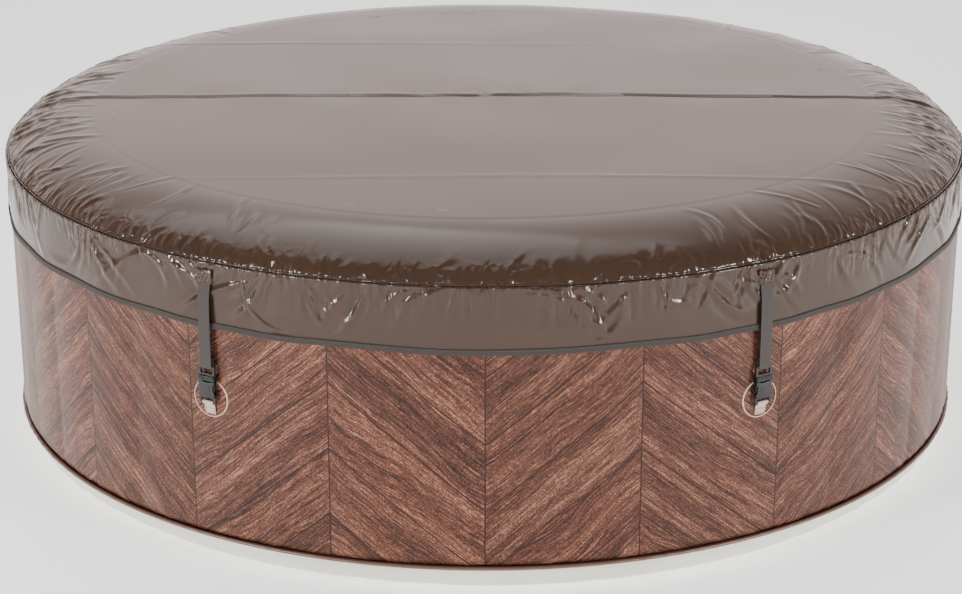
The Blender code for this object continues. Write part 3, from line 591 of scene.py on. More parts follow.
def fold_relief():
    """Height of every fold of the cover, by row and column."""
    relief = np.zeros((len(ROWS), COVER_COLS))
    rng = random.Random(11)
    side_arc = TURN / 4
    # puckers where the welt is sewn, reaching further up the shoulder where the sheet is slack
    arc = -TURN / 2
    while arc < TURN / 2:
        arc += rng.uniform(0.007, 0.030)
        slack = 0.55 + 0.45 * math.exp(-((abs(arc) - side_arc) / 0.45) ** 2)
        up = rng.uniform(0.012, 0.050) * (0.6 + slack)
        down = rng.uniform(0.010, 0.045)
        high = rng.uniform(0.0010, 0.0032)
        crease(relief, arc, -0.001, arc + rng.gauss(0, 0.35) * up, -up, high,
               rng.uniform(0.0028, 0.0050), rng.uniform(-0.12, 0.12))
        crease(relief, arc, 0.001, arc + rng.gauss(0, 0.4) * down, down, high,
               rng.uniform(0.0028, 0.0050), rng.uniform(-0.15, 0.15))
    # long slanting folds of the hanging skirt
    for _ in range(120):
        arc = rng.uniform(-TURN / 2, TURN / 2)
        start = rng.uniform(0.0, 0.03)
        length = rng.uniform(0.05, 0.12)
        lean = rng.choice((-1, 1)) * rng.uniform(0.4, 1.5)
        crease(relief, arc, start, arc + lean * length, min(start + length, 0.118),
               rng.uniform(0.0030, 0.0062), rng.uniform(0.0036, 0.0075), rng.uniform(-0.25, 0.25))
    # slack folds over the shoulder, most of them at the two ends of the middle seam
    slack_folds, at_seam_ends = 300, 210
    for k in range(slack_folds):
        if k < at_seam_ends:
            arc = rng.choice((-1, 1)) * side_arc + rng.gauss(0, 0.42)
            start = -rng.uniform(0.0, 0.09)
            length = rng.uniform(0.05, 0.16)
        else:
            arc = rng.uniform(-TURN / 2, TURN / 2)
            start = -rng.uniform(0.0, 0.03)
            length = rng.uniform(0.03, 0.09)
        crease(relief, arc, start, arc + rng.gauss(0, 0.35) * length, start - length,
               rng.uniform(0.0012, 0.0034), rng.uniform(0.004, 0.009), rng.uniform(-0.2, 0.2))
    # folds that fan out from the sewn end of each strap
    for azimuth in STRAP_AZ:
        middle = ((math.radians(azimuth) + math.pi) % (2 * math.pi) - math.pi) * WELT_R
        for k in range(13):
            angle = math.radians(-90 + 180 * (k + rng.uniform(-0.3, 0.3)) / 12)
            length = rng.uniform(0.04, 0.10)
            arc = middle + 0.011 * math.sin(angle)
            crease(relief, arc, 0.040, arc + length * math.sin(angle), 0.034 - length * math.cos(angle) * 0.8,
                   rng.uniform(0.0012, 0.0030), rng.uniform(0.0035, 0.0060), rng.uniform(-0.15, 0.15))
    # two peaks and one long bright fold just left of the front
    crease(relief, -0.075, 0.006, -0.170, 0.118, 0.0040, 0.008, 0.18)
    crease(relief, -0.045, 0.004, -0.052, 0.045, 0.0032, 0.006, 0.10)
    crease(relief, -0.110, 0.004, -0.100, 0.040, 0.0030, 0.006, -0.10)
    # slow waves of the hanging cloth, and the pull of the seam
    a = azimuths(COVER_COLS)[None, :]
    v = ROWS[:, None]
    hang = np.clip(v / 0.12, 0, 1)
    waves = drift(a, v, 3, 14, 34, 8.0) * 0.0016 * (0.35 + hang) + drift(a, v, 5, 8, 9, 3.0) * 0.0012
    relief = 0.0050 * np.tanh(relief / 0.0050 - 0.12)
    relief += waves * np.clip((v + 0.2) / 0.12, 0, 1) - 0.0014 * np.exp(-(v / 0.0030) ** 2)
    return np.clip(relief, -0.0046, 0.0062)


RELIEF = fold_relief()
SHOULDER_RELIEF = RELIEF[:SHOULDER_STEPS + 1][::-1]
SKIRT_RELIEF = RELIEF[SHOULDER_STEPS + 1:]


def top_relief(x, y):
    """Middle seam, the two storage folds beside it, and slight waves of the flat top."""
    wander = 0.002 * np.sin(x * 5.1 + 0.6) + 0.001 * np.sin(x * 13.7)
    seam = 0.0022 * np.exp(-((y - wander - 0.006) / 0.006) ** 2)
    seam = seam - 0.0026 * np.exp(-((y - wander + 0.003) / 0.0035) ** 2)
    pull = 0.0005 * np.exp(-(y / 0.045) ** 2) * np.sin(x * 38 + 3 * np.sin(x * 7.0))
    folds = 0.0
    for at, size in ((0.47, 0.0011), (-0.585, 0.0010)):
        line = at + 0.006 * np.sin(x * 4.0 + at * 9)
        fade = 0.55 + 0.45 * np.sin(x * 3.1 + at * 20)
        folds = folds + size * fade * np.exp(-((y - line) / 0.006) ** 2)
    waves = 0.0010 * np.sin(x * 6.3 + 1.3 * np.sin(y * 5.0)) * np.sin(y * 9.1 + 1.7 * np.sin(x * 3.3 + 1))
    return seam + pull + folds + waves


def flat_top_z(r):
    return COVER_TOP - 0.001 - CROWN * (r / SHOULDER_R) ** 2


def cover_top():
    """Two half-discs sewn along the middle, drawn down over a shoulder to the welt."""
    rings = []
    for (r, z, tilt), relief in zip(SHOULDER, SHOULDER_RELIEF):
        a = azimuths(COVER_COLS)
        fade = min(1.0, (WELT_R + 0.01 - r) / 0.06)
        lift = relief + top_relief(r * np.sin(a), -r * np.cos(a)) * fade
        height = z - 0.001 * math.cos(tilt) + lift * math.cos(tilt)
        rings.append(ring(r + lift * math.sin(tilt), height, COVER_COLS))
    for count, radii in ((COVER_COLS // 2, np.linspace(SHOULDER_R - 0.006, 0.620, 30)),
                         (COVER_COLS // 4, np.linspace(0.610, 0.300, 32)),
                         (COVER_COLS // 12, np.linspace(0.285, 0.020, 18))):
        for r in radii:
            a = azimuths(count)
            rings.append(ring(r, flat_top_z(r) + top_relief(r * np.sin(a), -r * np.cos(a)), count))
    rings.append(np.array([[0.0, 0.0, flat_top_z(0)]]))
    under = 0.0055
    rings.append(np.array([[0.0, 0.0, flat_top_z(0) - under]]))
    rings += [ring(r, flat_top_z(r) - under, BACK_COLS) for r in (0.05, 0.3, 0.6, 0.82)]
    for t in (0.1, 0.25, 0.4, 0.55, 0.7, 0.85, 1.0):
        r, z, tilt = shoulder_point(t)
        rings.append(ring(r - under * math.sin(tilt), z - under * math.cos(tilt), BACK_COLS))
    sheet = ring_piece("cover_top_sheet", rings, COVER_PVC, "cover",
                       ("cover_top_front", "cover_top_rear"))


def skirt_radius(row):
    """Radius of the hanging skirt all round, at one of its rows."""
    return SKIRT_R + 0.0002 + SKIRT_RELIEF[row]


def cover_skirt():
    """Skirt sewn under the welt, with its one upright seam at the front."""
    rings = []
    a = azimuths(COVER_COLS)
    seam = (a - SKIRT_SEAM) * WELT_R
    ridge = 0.0011 * np.exp(-((seam - 0.004) / 0.0030) ** 2)
    ridge = ridge - 0.0011 * np.exp(-((seam + 0.002) / 0.0022) ** 2)
    for row, v in enumerate(SKIRT_GONE):
        rings.append(ring(skirt_radius(row) + ridge, WELT_Z - v, COVER_COLS))
    for z in (HEM_LOW + 0.003, (HEM_LOW + WELT_Z) / 2, WELT_Z - 0.004):
        rings.append(ring(SKIRT_R - 0.0048, z, BACK_COLS))
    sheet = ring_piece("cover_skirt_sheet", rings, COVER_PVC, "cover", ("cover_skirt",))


def way_round(radius, height):
    """Points all round the cover, each with the direction out, from a radius and height per column."""
    a = azimuths(COVER_COLS)
    path = []
    for i in range(0, COVER_COLS + 1, 2):
        j = i % COVER_COLS
        out = Vector((math.sin(a[j]), -math.cos(a[j]), 0))
        path.append((out * radius[j] + Vector((0, 0, height[j])), out))
    return path


def cover_welt():
    """Bead of the sewn edge, sunk between the top's puckers and the skirt's, with its stitches."""
    a = azimuths(COVER_COLS)
    wobble = 0.35 * RELIEF[SHOULDER_STEPS - 3] + 0.35 * SKIRT_RELIEF[2]
    rise = 0.0009 * drift(a, 0.0, 21, 10, 60, 0.0)
    rings = []
    for k in range(8):
        turn = 2 * math.pi * k / 8
        out = WELT_R + 0.0002 + wobble + 0.0016 * math.cos(turn)
        rings.append(ring(out, WELT_Z - 0.0014 + 0.3 * rise + 0.0022 * math.sin(turn), COVER_COLS))
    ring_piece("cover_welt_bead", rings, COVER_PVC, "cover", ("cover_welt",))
    path = way_round(SKIRT_R + SKIRT_RELIEF[1], np.full(COVER_COLS, WELT_Z - 0.0060))
    stitches("cover_welt_stitches", path, *COARSE_STITCH, "cover")


def cover_hem():
    """Woven tape folded over the skirt's lower edge and stitched along it."""
    height, foot = HEM_TOP - HEM_LOW, HEM_LOW + 0.0012
    a = azimuths(COVER_COLS)
    wave = 0.0010 * drift(a, 0.0, 8, 9, 40, 0.0) - 0.0012 * np.exp(-(a / 0.05) ** 2)
    row = len(SKIRT_GONE) - 6
    base = SKIRT_R + 0.6 * SKIRT_RELIEF[row] + 0.4 * SKIRT_RELIEF[row + 4]
    rings = []
    profile = [(0.0, 0.06), (0.6, 0.02), (1.6, 0.0), (2.5, 0.03), (2.9, 0.14), (3.0, 0.5), (2.9, 0.86),
               (2.5, 0.97), (1.4, 1.0), (0.0, 0.98)]
    for out, up in profile:
        rings.append(ring(base + out * 0.001, foot + up * height + wave, COVER_COLS))
    rings += [ring(SKIRT_R - 0.0052, z, BACK_COLS) for z in (HEM_LOW + height, HEM_LOW + 0.002)]
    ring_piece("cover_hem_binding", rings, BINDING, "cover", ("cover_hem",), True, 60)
    path = way_round(base + 0.0030, foot + 0.80 * height + wave)
    stitches("cover_hem_stitches", path, *FINE_STITCH, "cover")


def seam_tapes():
    """Stitch rows beside the middle seam and down the skirt's upright seam."""
    for k, y in enumerate((0.0105, -0.0085)):
        path = []
        reach = math.sqrt(SHOULDER_R ** 2 - y ** 2) - 0.004
        for x in np.linspace(-reach, reach, 400):
            z = flat_top_z(abs(x)) + float(top_relief(x, y))
            path.append((Vector((x, y, z + 0.0002)), Vector((0, 0, 1))))
        name = "cover_seam_stitches_%d" % (k + 1)
        made = stitches(name, path, *COARSE_STITCH, "cover")
        if k == 0:
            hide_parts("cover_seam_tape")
    for k, shift in enumerate((-0.0065, 0.0085)):
        a = SKIRT_SEAM + shift / WELT_R
        col = int(round((a + math.pi) / (2 * math.pi) * COVER_COLS)) % COVER_COLS
        out = Vector((math.sin(a), -math.cos(a), 0))
        path = [(out * (skirt_radius(row)[col] + 0.0003) + Vector((0, 0, WELT_Z - v)), out)
                for row, v in enumerate(SKIRT_GONE[:-6])]
        stitches("skirt_seam_stitches_%d" % (k + 1), path, *FINE_STITCH, "cover")


def cover_lining():
    """Loose film hung under the top, which carries the air pad."""
    count = 360
    a = azimuths(count)
    edge_z, film_z = LINING_TOP - 0.001, LINING_LOW + 0.0045
    line = [(INNER_R - 0.003, edge_z), (INNER_R - 0.006, edge_z - 0.021),
            (INNER_R - 0.013, LINING_LOW + 0.018), (INNER_R - 0.028, LINING_LOW + 0.006)]
    line += [(r, film_z) for r in np.linspace(INNER_R - 0.06, 0.02, 40)]

    def loose(r, z):
        x, y = r * np.sin(a), -r * np.cos(a)
        slack = 0.0012 * np.sin(9 * x + 2 * np.sin(4 * y)) * np.sin(11 * y + 2 * np.sin(5 * x))
        pucker = 0.0010 * drift(a, z, 31, 12, 90, 20.0) * math.exp(-((r - INNER_R) / 0.04) ** 2)
        return z + slack + pucker

    rings = [ring(r, loose(r, z), count) for r, z in line]
    rings.append(np.array([[0.0, 0.0, film_z]]))
    thick = 0.0015
    rings.append(np.array([[0.0, 0.0, film_z + thick]]))
    for r, z in line[::-1]:
        inward = thick if r > INNER_R - 0.04 else 0.0
        rings.append(ring(r - inward, loose(r, z) + thick, count))
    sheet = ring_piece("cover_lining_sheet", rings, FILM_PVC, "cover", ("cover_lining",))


def cover_bladder():
    """Air pad: two film discs welded at the rim and in rings, so it swells between the welds."""
    low, high = LINING_LOW + 0.0085, COVER_TOP - 0.0095
    middle, half = (low + high) / 2, (high - low) / 2
    outer = INNER_R - 0.018
    count = 180
    a = azimuths(count)
    top, bottom = [], []
    for r in np.linspace(outer, 0.01, 90):
        edge = max(0.0, 1 - ((r - (outer - 0.05)) / 0.05) ** 2) ** 0.5 if r > outer - 0.05 else 1.0
        welds = 1 - 0.35 * sum(math.exp(-((r - at) / 0.02) ** 2) for at in (0.26, 0.52))
        swell = half * edge * welds * (1 - 0.02 * (1 + np.sin(24 * a)) * min(1.0, r / outer))
        top.append(ring(r, middle + np.minimum(swell, half - 0.0005), count))
        bottom.append(ring(r, middle - np.minimum(swell, half - 0.0005), count))
    rings = top + bottom[::-1]
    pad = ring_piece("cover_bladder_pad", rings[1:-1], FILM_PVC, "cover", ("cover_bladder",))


# ---- tub -------------------------------------------------------------------------
def web_pull(a, z, low, high):
    """How far the wall is drawn in by its welds, 0 to 1; every second weld pulls it in less."""
    u = a * PRINT_LINES / math.pi
    near = np.abs(u - np.round(u))
    deep = np.where(np.round(u) % 2 == 0, 0.48, 1.0)
    broad = deep * (1 - 2 * near) ** 2
    ends = np.clip(min(z - low, high - z) / 0.030, 0, 1)
    return broad * (0.25 + 0.75 * ends)


def edge_puckers(a, z, low, high, seed):
    """Short upright puckers where a wall is welded along its two edges."""
    near = math.exp(-(z - low) / 0.010) + math.exp(-(high - z) / 0.010)
    return drift(a, 0.0, seed, 16, 260, 0.0) * 0.0006 * near


def printed_wall():
    """Outer wall: printed sheet, full between the web welds and drawn in along each."""
    count = 24 * WEB_WELDS
    a = azimuths(count)
    round_off, edge_tuck, weld_depth = 0.014, 0.0045, 0.0030
    rings = []
    for z in np.r_[np.linspace(0, 0.02, 9), np.linspace(0.024, 1 - 0.024, 70), np.linspace(0.98, 1, 9)]:
        z = WALL_LOW + z * (WALL_TOP - WALL_LOW)
        d = min(z - WALL_LOW, WALL_TOP - z)
        tuck = 0.0 if d > round_off else edge_tuck * (1 - d / round_off) ** 2
        r = WALL_R - tuck - weld_depth * web_pull(a, z, WALL_LOW, WALL_TOP)
        rings.append(ring(r + np.minimum(edge_puckers(a, z, WALL_LOW, WALL_TOP, 41), 0.0008), z, count))
    for z in (WALL_TOP - 0.001, (WALL_LOW + WALL_TOP) / 2, WALL_LOW + 0.001):
        rings.append(ring(WALL_R - 0.0075, z, 6 * WEB_WELDS))
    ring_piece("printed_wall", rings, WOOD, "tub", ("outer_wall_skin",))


def weld_lip():
    """Flattened edge where the wall is hot-welded to the base, with the welding wheel's waves."""
    count = 30 * WEB_WELDS
    a = azimuths(count)
    wave = 0.0005 * drift(a, 0.0, 51, 12, 200, 0.0)
    middle, half = (LIP_LOW + LIP_TOP) / 2, (LIP_TOP - LIP_LOW) / 2
    rings = []
    for out, up in ((-0.0120, 0.7), (-0.0040, 0.8), (-0.0012, 0.75), (0.0, 0.3),
                    (0.0, -0.3), (-0.0012, -0.75), (-0.0040, -0.9), (-0.0120, -0.9)):
        edge = wave if out > -0.01 else 0.0
        rings.append(ring(LIP_R + out - 0.0004 + edge, middle + half * up + edge * 0.6, count))
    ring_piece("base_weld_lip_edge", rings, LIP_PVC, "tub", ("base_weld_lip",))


def base_side():
    """Base skirt that curves in under the wall and puckers where it is drawn round the corner."""
    count = 30 * WEB_WELDS
    a = azimuths(count)
    foot = LIP_R - 0.0125
    top = LIP_LOW - 0.0002
    rise = top - 0.010
    rings = []
    for k in range(26):
        t = k / 25
        tilt = math.radians(90 * min(1.0, t / 0.86))
        r = BASE_R + (foot - BASE_R) * math.sin(tilt)
        z = rise * (1 - math.cos(tilt)) if t < 0.86 else rise + (top - rise) * (t - 0.86) / 0.14
        slack = math.sin(math.pi * min(1.0, t / 0.9)) ** 0.7
        crumple = (drift(a, t, 61, 18, 120, 3.0) * 0.0009 * slack
                   + drift(a, t, 62, 6, 14, 2.0) * 0.0012 * slack)
        height = max(z, 0.0) - np.minimum(0, crumple * math.cos(tilt))
        rings.append(ring(r + crumple * math.sin(tilt), height, count))
    back = [(foot - 0.005, top), (foot - 0.006, 0.045), (foot - 0.014, 0.018),
            (BASE_R + 0.010, 0.0045), (BASE_R - 0.002, 0.0024), (BASE_R - 0.003, 0.0)]
    rings += [ring(r, z, count // 3) for r, z in back]
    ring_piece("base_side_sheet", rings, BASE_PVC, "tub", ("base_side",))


def rim_sheet():
    """Sheet over the air chamber, from the wall's neck to the pool wall, tucked at each web."""
    count = 16 * WEB_WELDS
    a = azimuths(count)
    line = [(WALL_R - 0.0042, WALL_TOP + 0.0005), (WALL_R - 0.0045, WALL_TOP + 0.006)]
    below_cover = 0.0078
    for t in np.linspace(0.97, 0.09, 26):
        r, z, tilt = shoulder_point(t)
        line.append((r - below_cover * math.sin(tilt), z - below_cover * math.cos(tilt)))
    crest_r, crest_z = line[-1]
    reach = crest_r - INNER_R
    fall = crest_z - POOL_TOP - 0.008
    for k in range(1, 15):
        turn = math.radians(90 * k / 14)
        line.append((crest_r - reach * math.sin(turn), crest_z - fall * (1 - math.cos(turn))))
    line.append((INNER_R, POOL_TOP + 0.001))
    u = a * PRINT_LINES / math.pi
    near = np.abs(u - np.round(u))
    tuck = 0.0022 * np.exp(-(near / 0.06) ** 2)
    outer, inner = [], []
    for k, (r, z) in enumerate(line):
        share = math.sin(math.pi * k / (len(line) - 1)) ** 0.5
        slack = share * (0.0008 * drift(a, z, 71, 10, 80, 6.0) - tuck)
        slack = np.minimum(slack, 0.0006)
        away = max(0.0, r - 0.90) / 0.12
        outer.append(ring(r + slack * away, z + slack * (1 - 0.5 * away), count))
    for r, z in line[::-1]:
        deeper = 0.0045
        pull_r = deeper if r > 0.93 else (-deeper if r < INNER_R + 0.02 else 0.0)
        inner.append(ring(r - pull_r, z - (deeper if pull_r == 0.0 else 0.001), 4 * WEB_WELDS))
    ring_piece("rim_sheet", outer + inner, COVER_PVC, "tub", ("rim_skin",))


def pool_wall():
    """Pool wall: pale sheet, full between the web welds."""
    count = 16 * WEB_WELDS
    a = azimuths(count)
    rings = []
    for z in np.linspace(FLOOR_LOW, POOL_TOP, 70):
        swell = 0.0028 * (1 - web_pull(a, z, FLOOR_LOW, POOL_TOP))
        ends = np.clip(min(z - FLOOR_LOW, POOL_TOP - z) / 0.03, 0, 1)
        rings.append(ring(INNER_R - swell * ends + 0.0002, z, count))
    rings += [ring(INNER_R + 0.0022, z, 4 * WEB_WELDS) for z in (POOL_TOP, 0.3, FLOOR_LOW)]
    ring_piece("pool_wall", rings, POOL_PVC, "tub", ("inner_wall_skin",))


def pool_floor():
    """Floor sheet quilted by weld spots 70 mm apart to the base below."""
    rings = []
    count = 720
    for r in np.linspace(INNER_R, 0.012, 150):
        n = count if r > 0.4 else (360 if r > 0.15 else 120)
        a = azimuths(n)
        x, y = r * np.sin(a), -r * np.cos(a)
        k = math.pi / 0.070
        spot = np.abs(np.cos(k * x) * np.cos(k * y)) ** 14
        rings.append(ring(r, FLOOR_TOP - 0.0008 * spot - 0.0002, n))
    rings.append(np.array([[0.0, 0.0, FLOOR_TOP - 0.001]]))
    rings.append(np.array([[0.0, 0.0, FLOOR_LOW]]))
    rings += [ring(r, FLOOR_LOW, 120) for r in (0.3, 0.6)] + [ring(INNER_R, FLOOR_LOW, 120)]
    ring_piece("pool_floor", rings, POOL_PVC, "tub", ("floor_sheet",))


def bubble_channel():
    """Half-round air channel at the foot of the pool wall, with a jet every 4 degrees."""
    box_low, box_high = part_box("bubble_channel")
    low, high = box_low.z, box_high.z
    deep = 0.019
    middle, half = (low + high) / 2, (high - low) / 2
    end = math.degrees(math.acos(min(1.0, box_high.y / INNER_R)))
    reach = math.radians(180 - end)
    spans = np.linspace(-reach, reach, 400)
    on_wall = INNER_R - 0.0004
    section = [(on_wall, middle + half)]
    for k in range(1, 12):
        turn = math.radians(90 - 180 * k / 12)
        section.append((on_wall - deep * math.cos(turn) ** 0.8, middle + half * math.sin(turn)))
    section.append((on_wall, middle - half))
    verts = []
    for a in spans:
        for r, z in section:
            swell = 0.0006 * math.sin(a * 90) * (1 if r < INNER_R - 0.005 else 0)
            verts.append(((r + swell) * math.sin(a), -(r + swell) * math.cos(a), z))
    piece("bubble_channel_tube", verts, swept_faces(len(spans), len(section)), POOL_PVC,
          "tub", ("bubble_channel",), 50)
    verts, faces = [], []
    for a in np.radians(np.arange(-math.degrees(reach) + 3, math.degrees(reach) - 2, 4)):
        jet_r = INNER_R - deep + 0.0012
        centre = Vector((jet_r * math.sin(a), -jet_r * math.cos(a), middle + half * 0.35))
        facing = Matrix.Translation(centre) @ Matrix.Rotation(a, 4, "Z")
        start = len(verts)
        for r, out in ((0.0016, -0.0010), (0.0016, 0.0014), (0.0032, 0.0018), (0.0040, -0.0010)):
            for k in range(12):
                turn = 2 * math.pi * k / 12
                verts.append(facing @ Vector((r * math.cos(turn), out, r * math.sin(turn))))
        for ring_a, ring_b in ((0, 1), (1, 2), (2, 3), (3, 0)):
            for k in range(12):
                j = (k + 1) % 12
                faces.append((start + 12 * ring_a + k, start + 12 * ring_a + j,
                              start + 12 * ring_b + j, start + 12 * ring_b + k))
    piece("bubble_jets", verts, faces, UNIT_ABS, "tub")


def port(name, cap_body):
    """Moulded port through the wall, and its screw cap with a fluted rim and a grip bar."""
    low, high, middle = span(name + "_body")
    # the ports stand at whole degrees, and their boxes are too lopsided to give the angle exactly
    azimuth = round(math.degrees(math.atan2(middle.x, -middle.y)))
    radius = (high.z - low.z) / 2
    on_wall = front_frame(azimuth, middle.z)
    place = on_wall @ Matrix.Rotation(math.pi / 2, 4, "X")
    neck, bore = radius * 0.70, radius * 0.55
    body = [(0.0, -0.0020), (radius, -0.0020), (radius, 0.0022), (radius - 0.0008, 0.0030),
            (neck + 0.002, 0.0034), (neck, 0.0050), (neck, 0.0084), (neck - 0.0006, 0.0090),
            (bore + 0.0006, 0.0090), (bore, 0.0084), (bore, 0.0030), (0.0, 0.0030)]
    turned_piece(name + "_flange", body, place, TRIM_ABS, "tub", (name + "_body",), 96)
    rim = radius * 0.82
    plug = bore - 0.0006
    cap = [(0.0, 0.0034), (plug, 0.0034), (plug, 0.0092), (rim, 0.0096), (rim, 0.0125),
           (rim - 0.0012, 0.0138), (rim * 0.70, 0.0142), (rim * 0.62, 0.0136), (0.0, 0.0136)]
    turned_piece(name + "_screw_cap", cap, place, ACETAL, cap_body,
                 (name + "_cap",), 192, grip=lambda a: -0.03 * (0.5 + 0.5 * np.sin(32 * a)) ** 2)
    reach = rim * 0.72
    bar = plate(rounded(-reach, reach, -0.0032, 0.0032, 0.0030), [], 0.0120, 0.0176, 0.0012)
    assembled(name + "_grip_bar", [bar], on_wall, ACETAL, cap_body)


# ---- straps and buckles ------------------------------------------------------------
BUCKLE_NEAR, BUCKLE_FAR = 0.0030, 0.0156
BAR_NEAR, BAR_FAR = 0.0070, 0.0116
HALF_W = 0.0180
SLOT_HALF = STRAP_W / 2 + 0.0006              # the slot that the webbing runs through


def patch(index, azimuth):
    """Round printed patch welded to the wall, with its pressed edge and the sewn webbing loop."""
    place = Matrix.Rotation(math.radians(azimuth), 4, "Z")

    def on_wall(s, z, n):
        a = s / WALL_R
        return place @ Vector(((WALL_R + n) * math.sin(a), -(WALL_R + n) * math.cos(a), PATCH_Z + z))

    disc = [(0.0, 0.0017), (PATCH_R * 0.5, 0.0017), (PATCH_R - 0.0024, 0.0017),
            (PATCH_R - 0.0020, 0.0010), (PATCH_R - 0.0020, -0.0030)]
    edge = [(PATCH_R - 0.0022, -0.0030), (PATCH_R - 0.0022, 0.0014), (PATCH_R - 0.0017, 0.0021),
            (PATCH_R - 0.0006, 0.0020), (PATCH_R, 0.0012), (PATCH_R, -0.0030)]
    for name, radii, look, nodes in (
            ("patch_%d_disc" % index, disc, WOOD, ["patch_%d" % index]),
            ("patch_%d_edge" % index, edge, OUTLINE, [])):
        closed = radii[0][0] > 0
        rings = []
        for r, n in radii:
            count = 72 if r > 0 else 1
            turn = [2 * math.pi * k / count for k in range(count)]
            rings.append(np.array([on_wall(r * math.cos(t), r * math.sin(t), n) for t in turn]))
        if not closed:
            rings.append(np.array([on_wall(0, 0, -0.0030)]))
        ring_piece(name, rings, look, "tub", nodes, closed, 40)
    z = SOCKET_LOW
    line = [(0.0030, z - 0.0360), (0.0032, z - 0.0220), (0.0056, z - 0.0165), (0.0124, z - 0.0135),
            (0.0132, z - 0.0100), (0.0096, z - 0.0070), (0.0058, z - 0.0100), (0.0050, z - 0.0170),
            (0.0048, z - 0.0300)]
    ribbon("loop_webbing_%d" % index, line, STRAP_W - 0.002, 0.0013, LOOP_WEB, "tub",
           front_frame(azimuth))
    rows = []
    flat_at = front_frame(azimuth)
    out = (flat_at.to_3x3() @ Vector((0, -1, 0))).normalized()
    for x0, z0, x1, z1 in ((-0.009, -0.033, 0.009, -0.033), (0.009, -0.033, 0.009, -0.024),
                           (0.009, -0.024, -0.009, -0.024), (-0.009, -0.024, -0.009, -0.033)):
        for t in np.linspace(0, 1, 5):
            at = Vector((x0 + (x1 - x0) * t, -0.0060, z + z0 + (z1 - z0) * t))
            rows.append((flat_at @ at, out))
    stitches("loop_stitches_%d" % index, rows, 0.0030, 0.0022, "tub", THREAD, "webbing", 0.0005)


def buckle_socket(index, azimuth):
    """Socket half: two faces over a middle spine, open at the sides where the prongs spring out."""
    z, top = SOCKET_LOW, SOCKET_TOP
    waist = 0.0030
    face = []
    for x, dz in ((HALF_W, 0.004), (HALF_W, 0.008), (HALF_W - waist, 0.0125), (HALF_W - waist, 0.0235),
                  (HALF_W, 0.028), (HALF_W, 0.0325), (HALF_W - 0.001, 0.0335)):
        face.append((x, z + dz))
    mouth = [(x, top - 0.0030 * (1 - (x / 0.015) ** 2)) for x in np.linspace(0.0145, -0.0145, 11)]
    left = [(-x, h) for x, h in face[::-1]]
    foot = [(-HALF_W + 0.003, z), (HALF_W - 0.003, z)]
    outline = face + mouth + left + foot
    ridge = rounded(-0.0075, 0.0075, z + 0.009, z + 0.024, 0.005)
    parts = [plate(outline, [], BUCKLE_FAR - 0.0034, BUCKLE_FAR - 0.0006, 0.0008),
             plate(outline, [], BUCKLE_NEAR, BUCKLE_NEAR + 0.0030, 0.0008),
             plate(ridge, [], BUCKLE_FAR - 0.0008, BUCKLE_FAR, 0.0005),
             plate(rounded(-HALF_W, HALF_W, z, z + 0.0070, 0.003), [],
                   BUCKLE_NEAR + 0.0020, BUCKLE_FAR - 0.0020, 0.0008),
             plate(rounded(-0.0022, 0.0022, z + 0.004, top - 0.008, 0.001), [],
                   BUCKLE_NEAR + 0.001, BUCKLE_FAR - 0.002, 0.0),
             plate(rounded(-HALF_W, HALF_W, z - 0.0130, z + 0.002, 0.0035),
                   [rounded(-SLOT_HALF, SLOT_HALF, z - 0.0086, z - 0.0010, 0.0012)],
                   BAR_NEAR, BAR_FAR, 0.0009)]
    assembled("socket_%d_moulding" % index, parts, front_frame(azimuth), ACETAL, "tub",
              ("buckle_socket_%d" % index,))


def buckle_prong(index, azimuth):
    """Pronged half: shoulder with thumb grips, sprung prongs with a guide, ladder frame above."""
    z = SOCKET_TOP + 0.0004
    bar = STRAP_LOW + 0.0009
    arm = [(0.0152, z), (0.0152, z - 0.009), (0.0172, z - 0.013), (0.0172, z - 0.0185), (0.0150, z - 0.0235),
           (0.0105, z - 0.0235), (0.0105, z - 0.020), (0.0125, z - 0.016), (0.0108, z - 0.009), (0.0098, z)]
    near, far = BUCKLE_NEAR + 0.0036, BUCKLE_FAR - 0.0040
    grips = [plate(rounded(-HALF_W + 0.002, HALF_W - 0.002, z + k, z + k + 0.0010, 0.0004), [],
                   BUCKLE_FAR - 0.0010, BUCKLE_FAR + 0.0002, 0.0) for k in (0.0022, 0.0042, 0.0062)]
    parts = [plate(rounded(-HALF_W, HALF_W, z, z + 0.0085, 0.0028), [],
                   BUCKLE_NEAR, BUCKLE_FAR - 0.0006, 0.0011),
             plate(arm, [], near, far, 0.0006),
             plate([(-x, h) for x, h in arm[::-1]], [], near, far, 0.0006),
             plate(rounded(-0.0028, 0.0028, z - 0.021, z + 0.001, 0.0015), [],
                   near + 0.0005, far - 0.0005, 0.0005),
             plate(rounded(-HALF_W, HALF_W, z + 0.006, bar + 0.0052, 0.0035),
                   [rounded(-SLOT_HALF, SLOT_HALF, z + 0.0128, bar - 0.0006, 0.0012)],
                   BAR_NEAR, BAR_FAR, 0.0010)] + grips
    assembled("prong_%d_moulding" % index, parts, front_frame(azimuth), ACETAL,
              "prong_%d" % index, ("buckle_prong_%d" % index,))


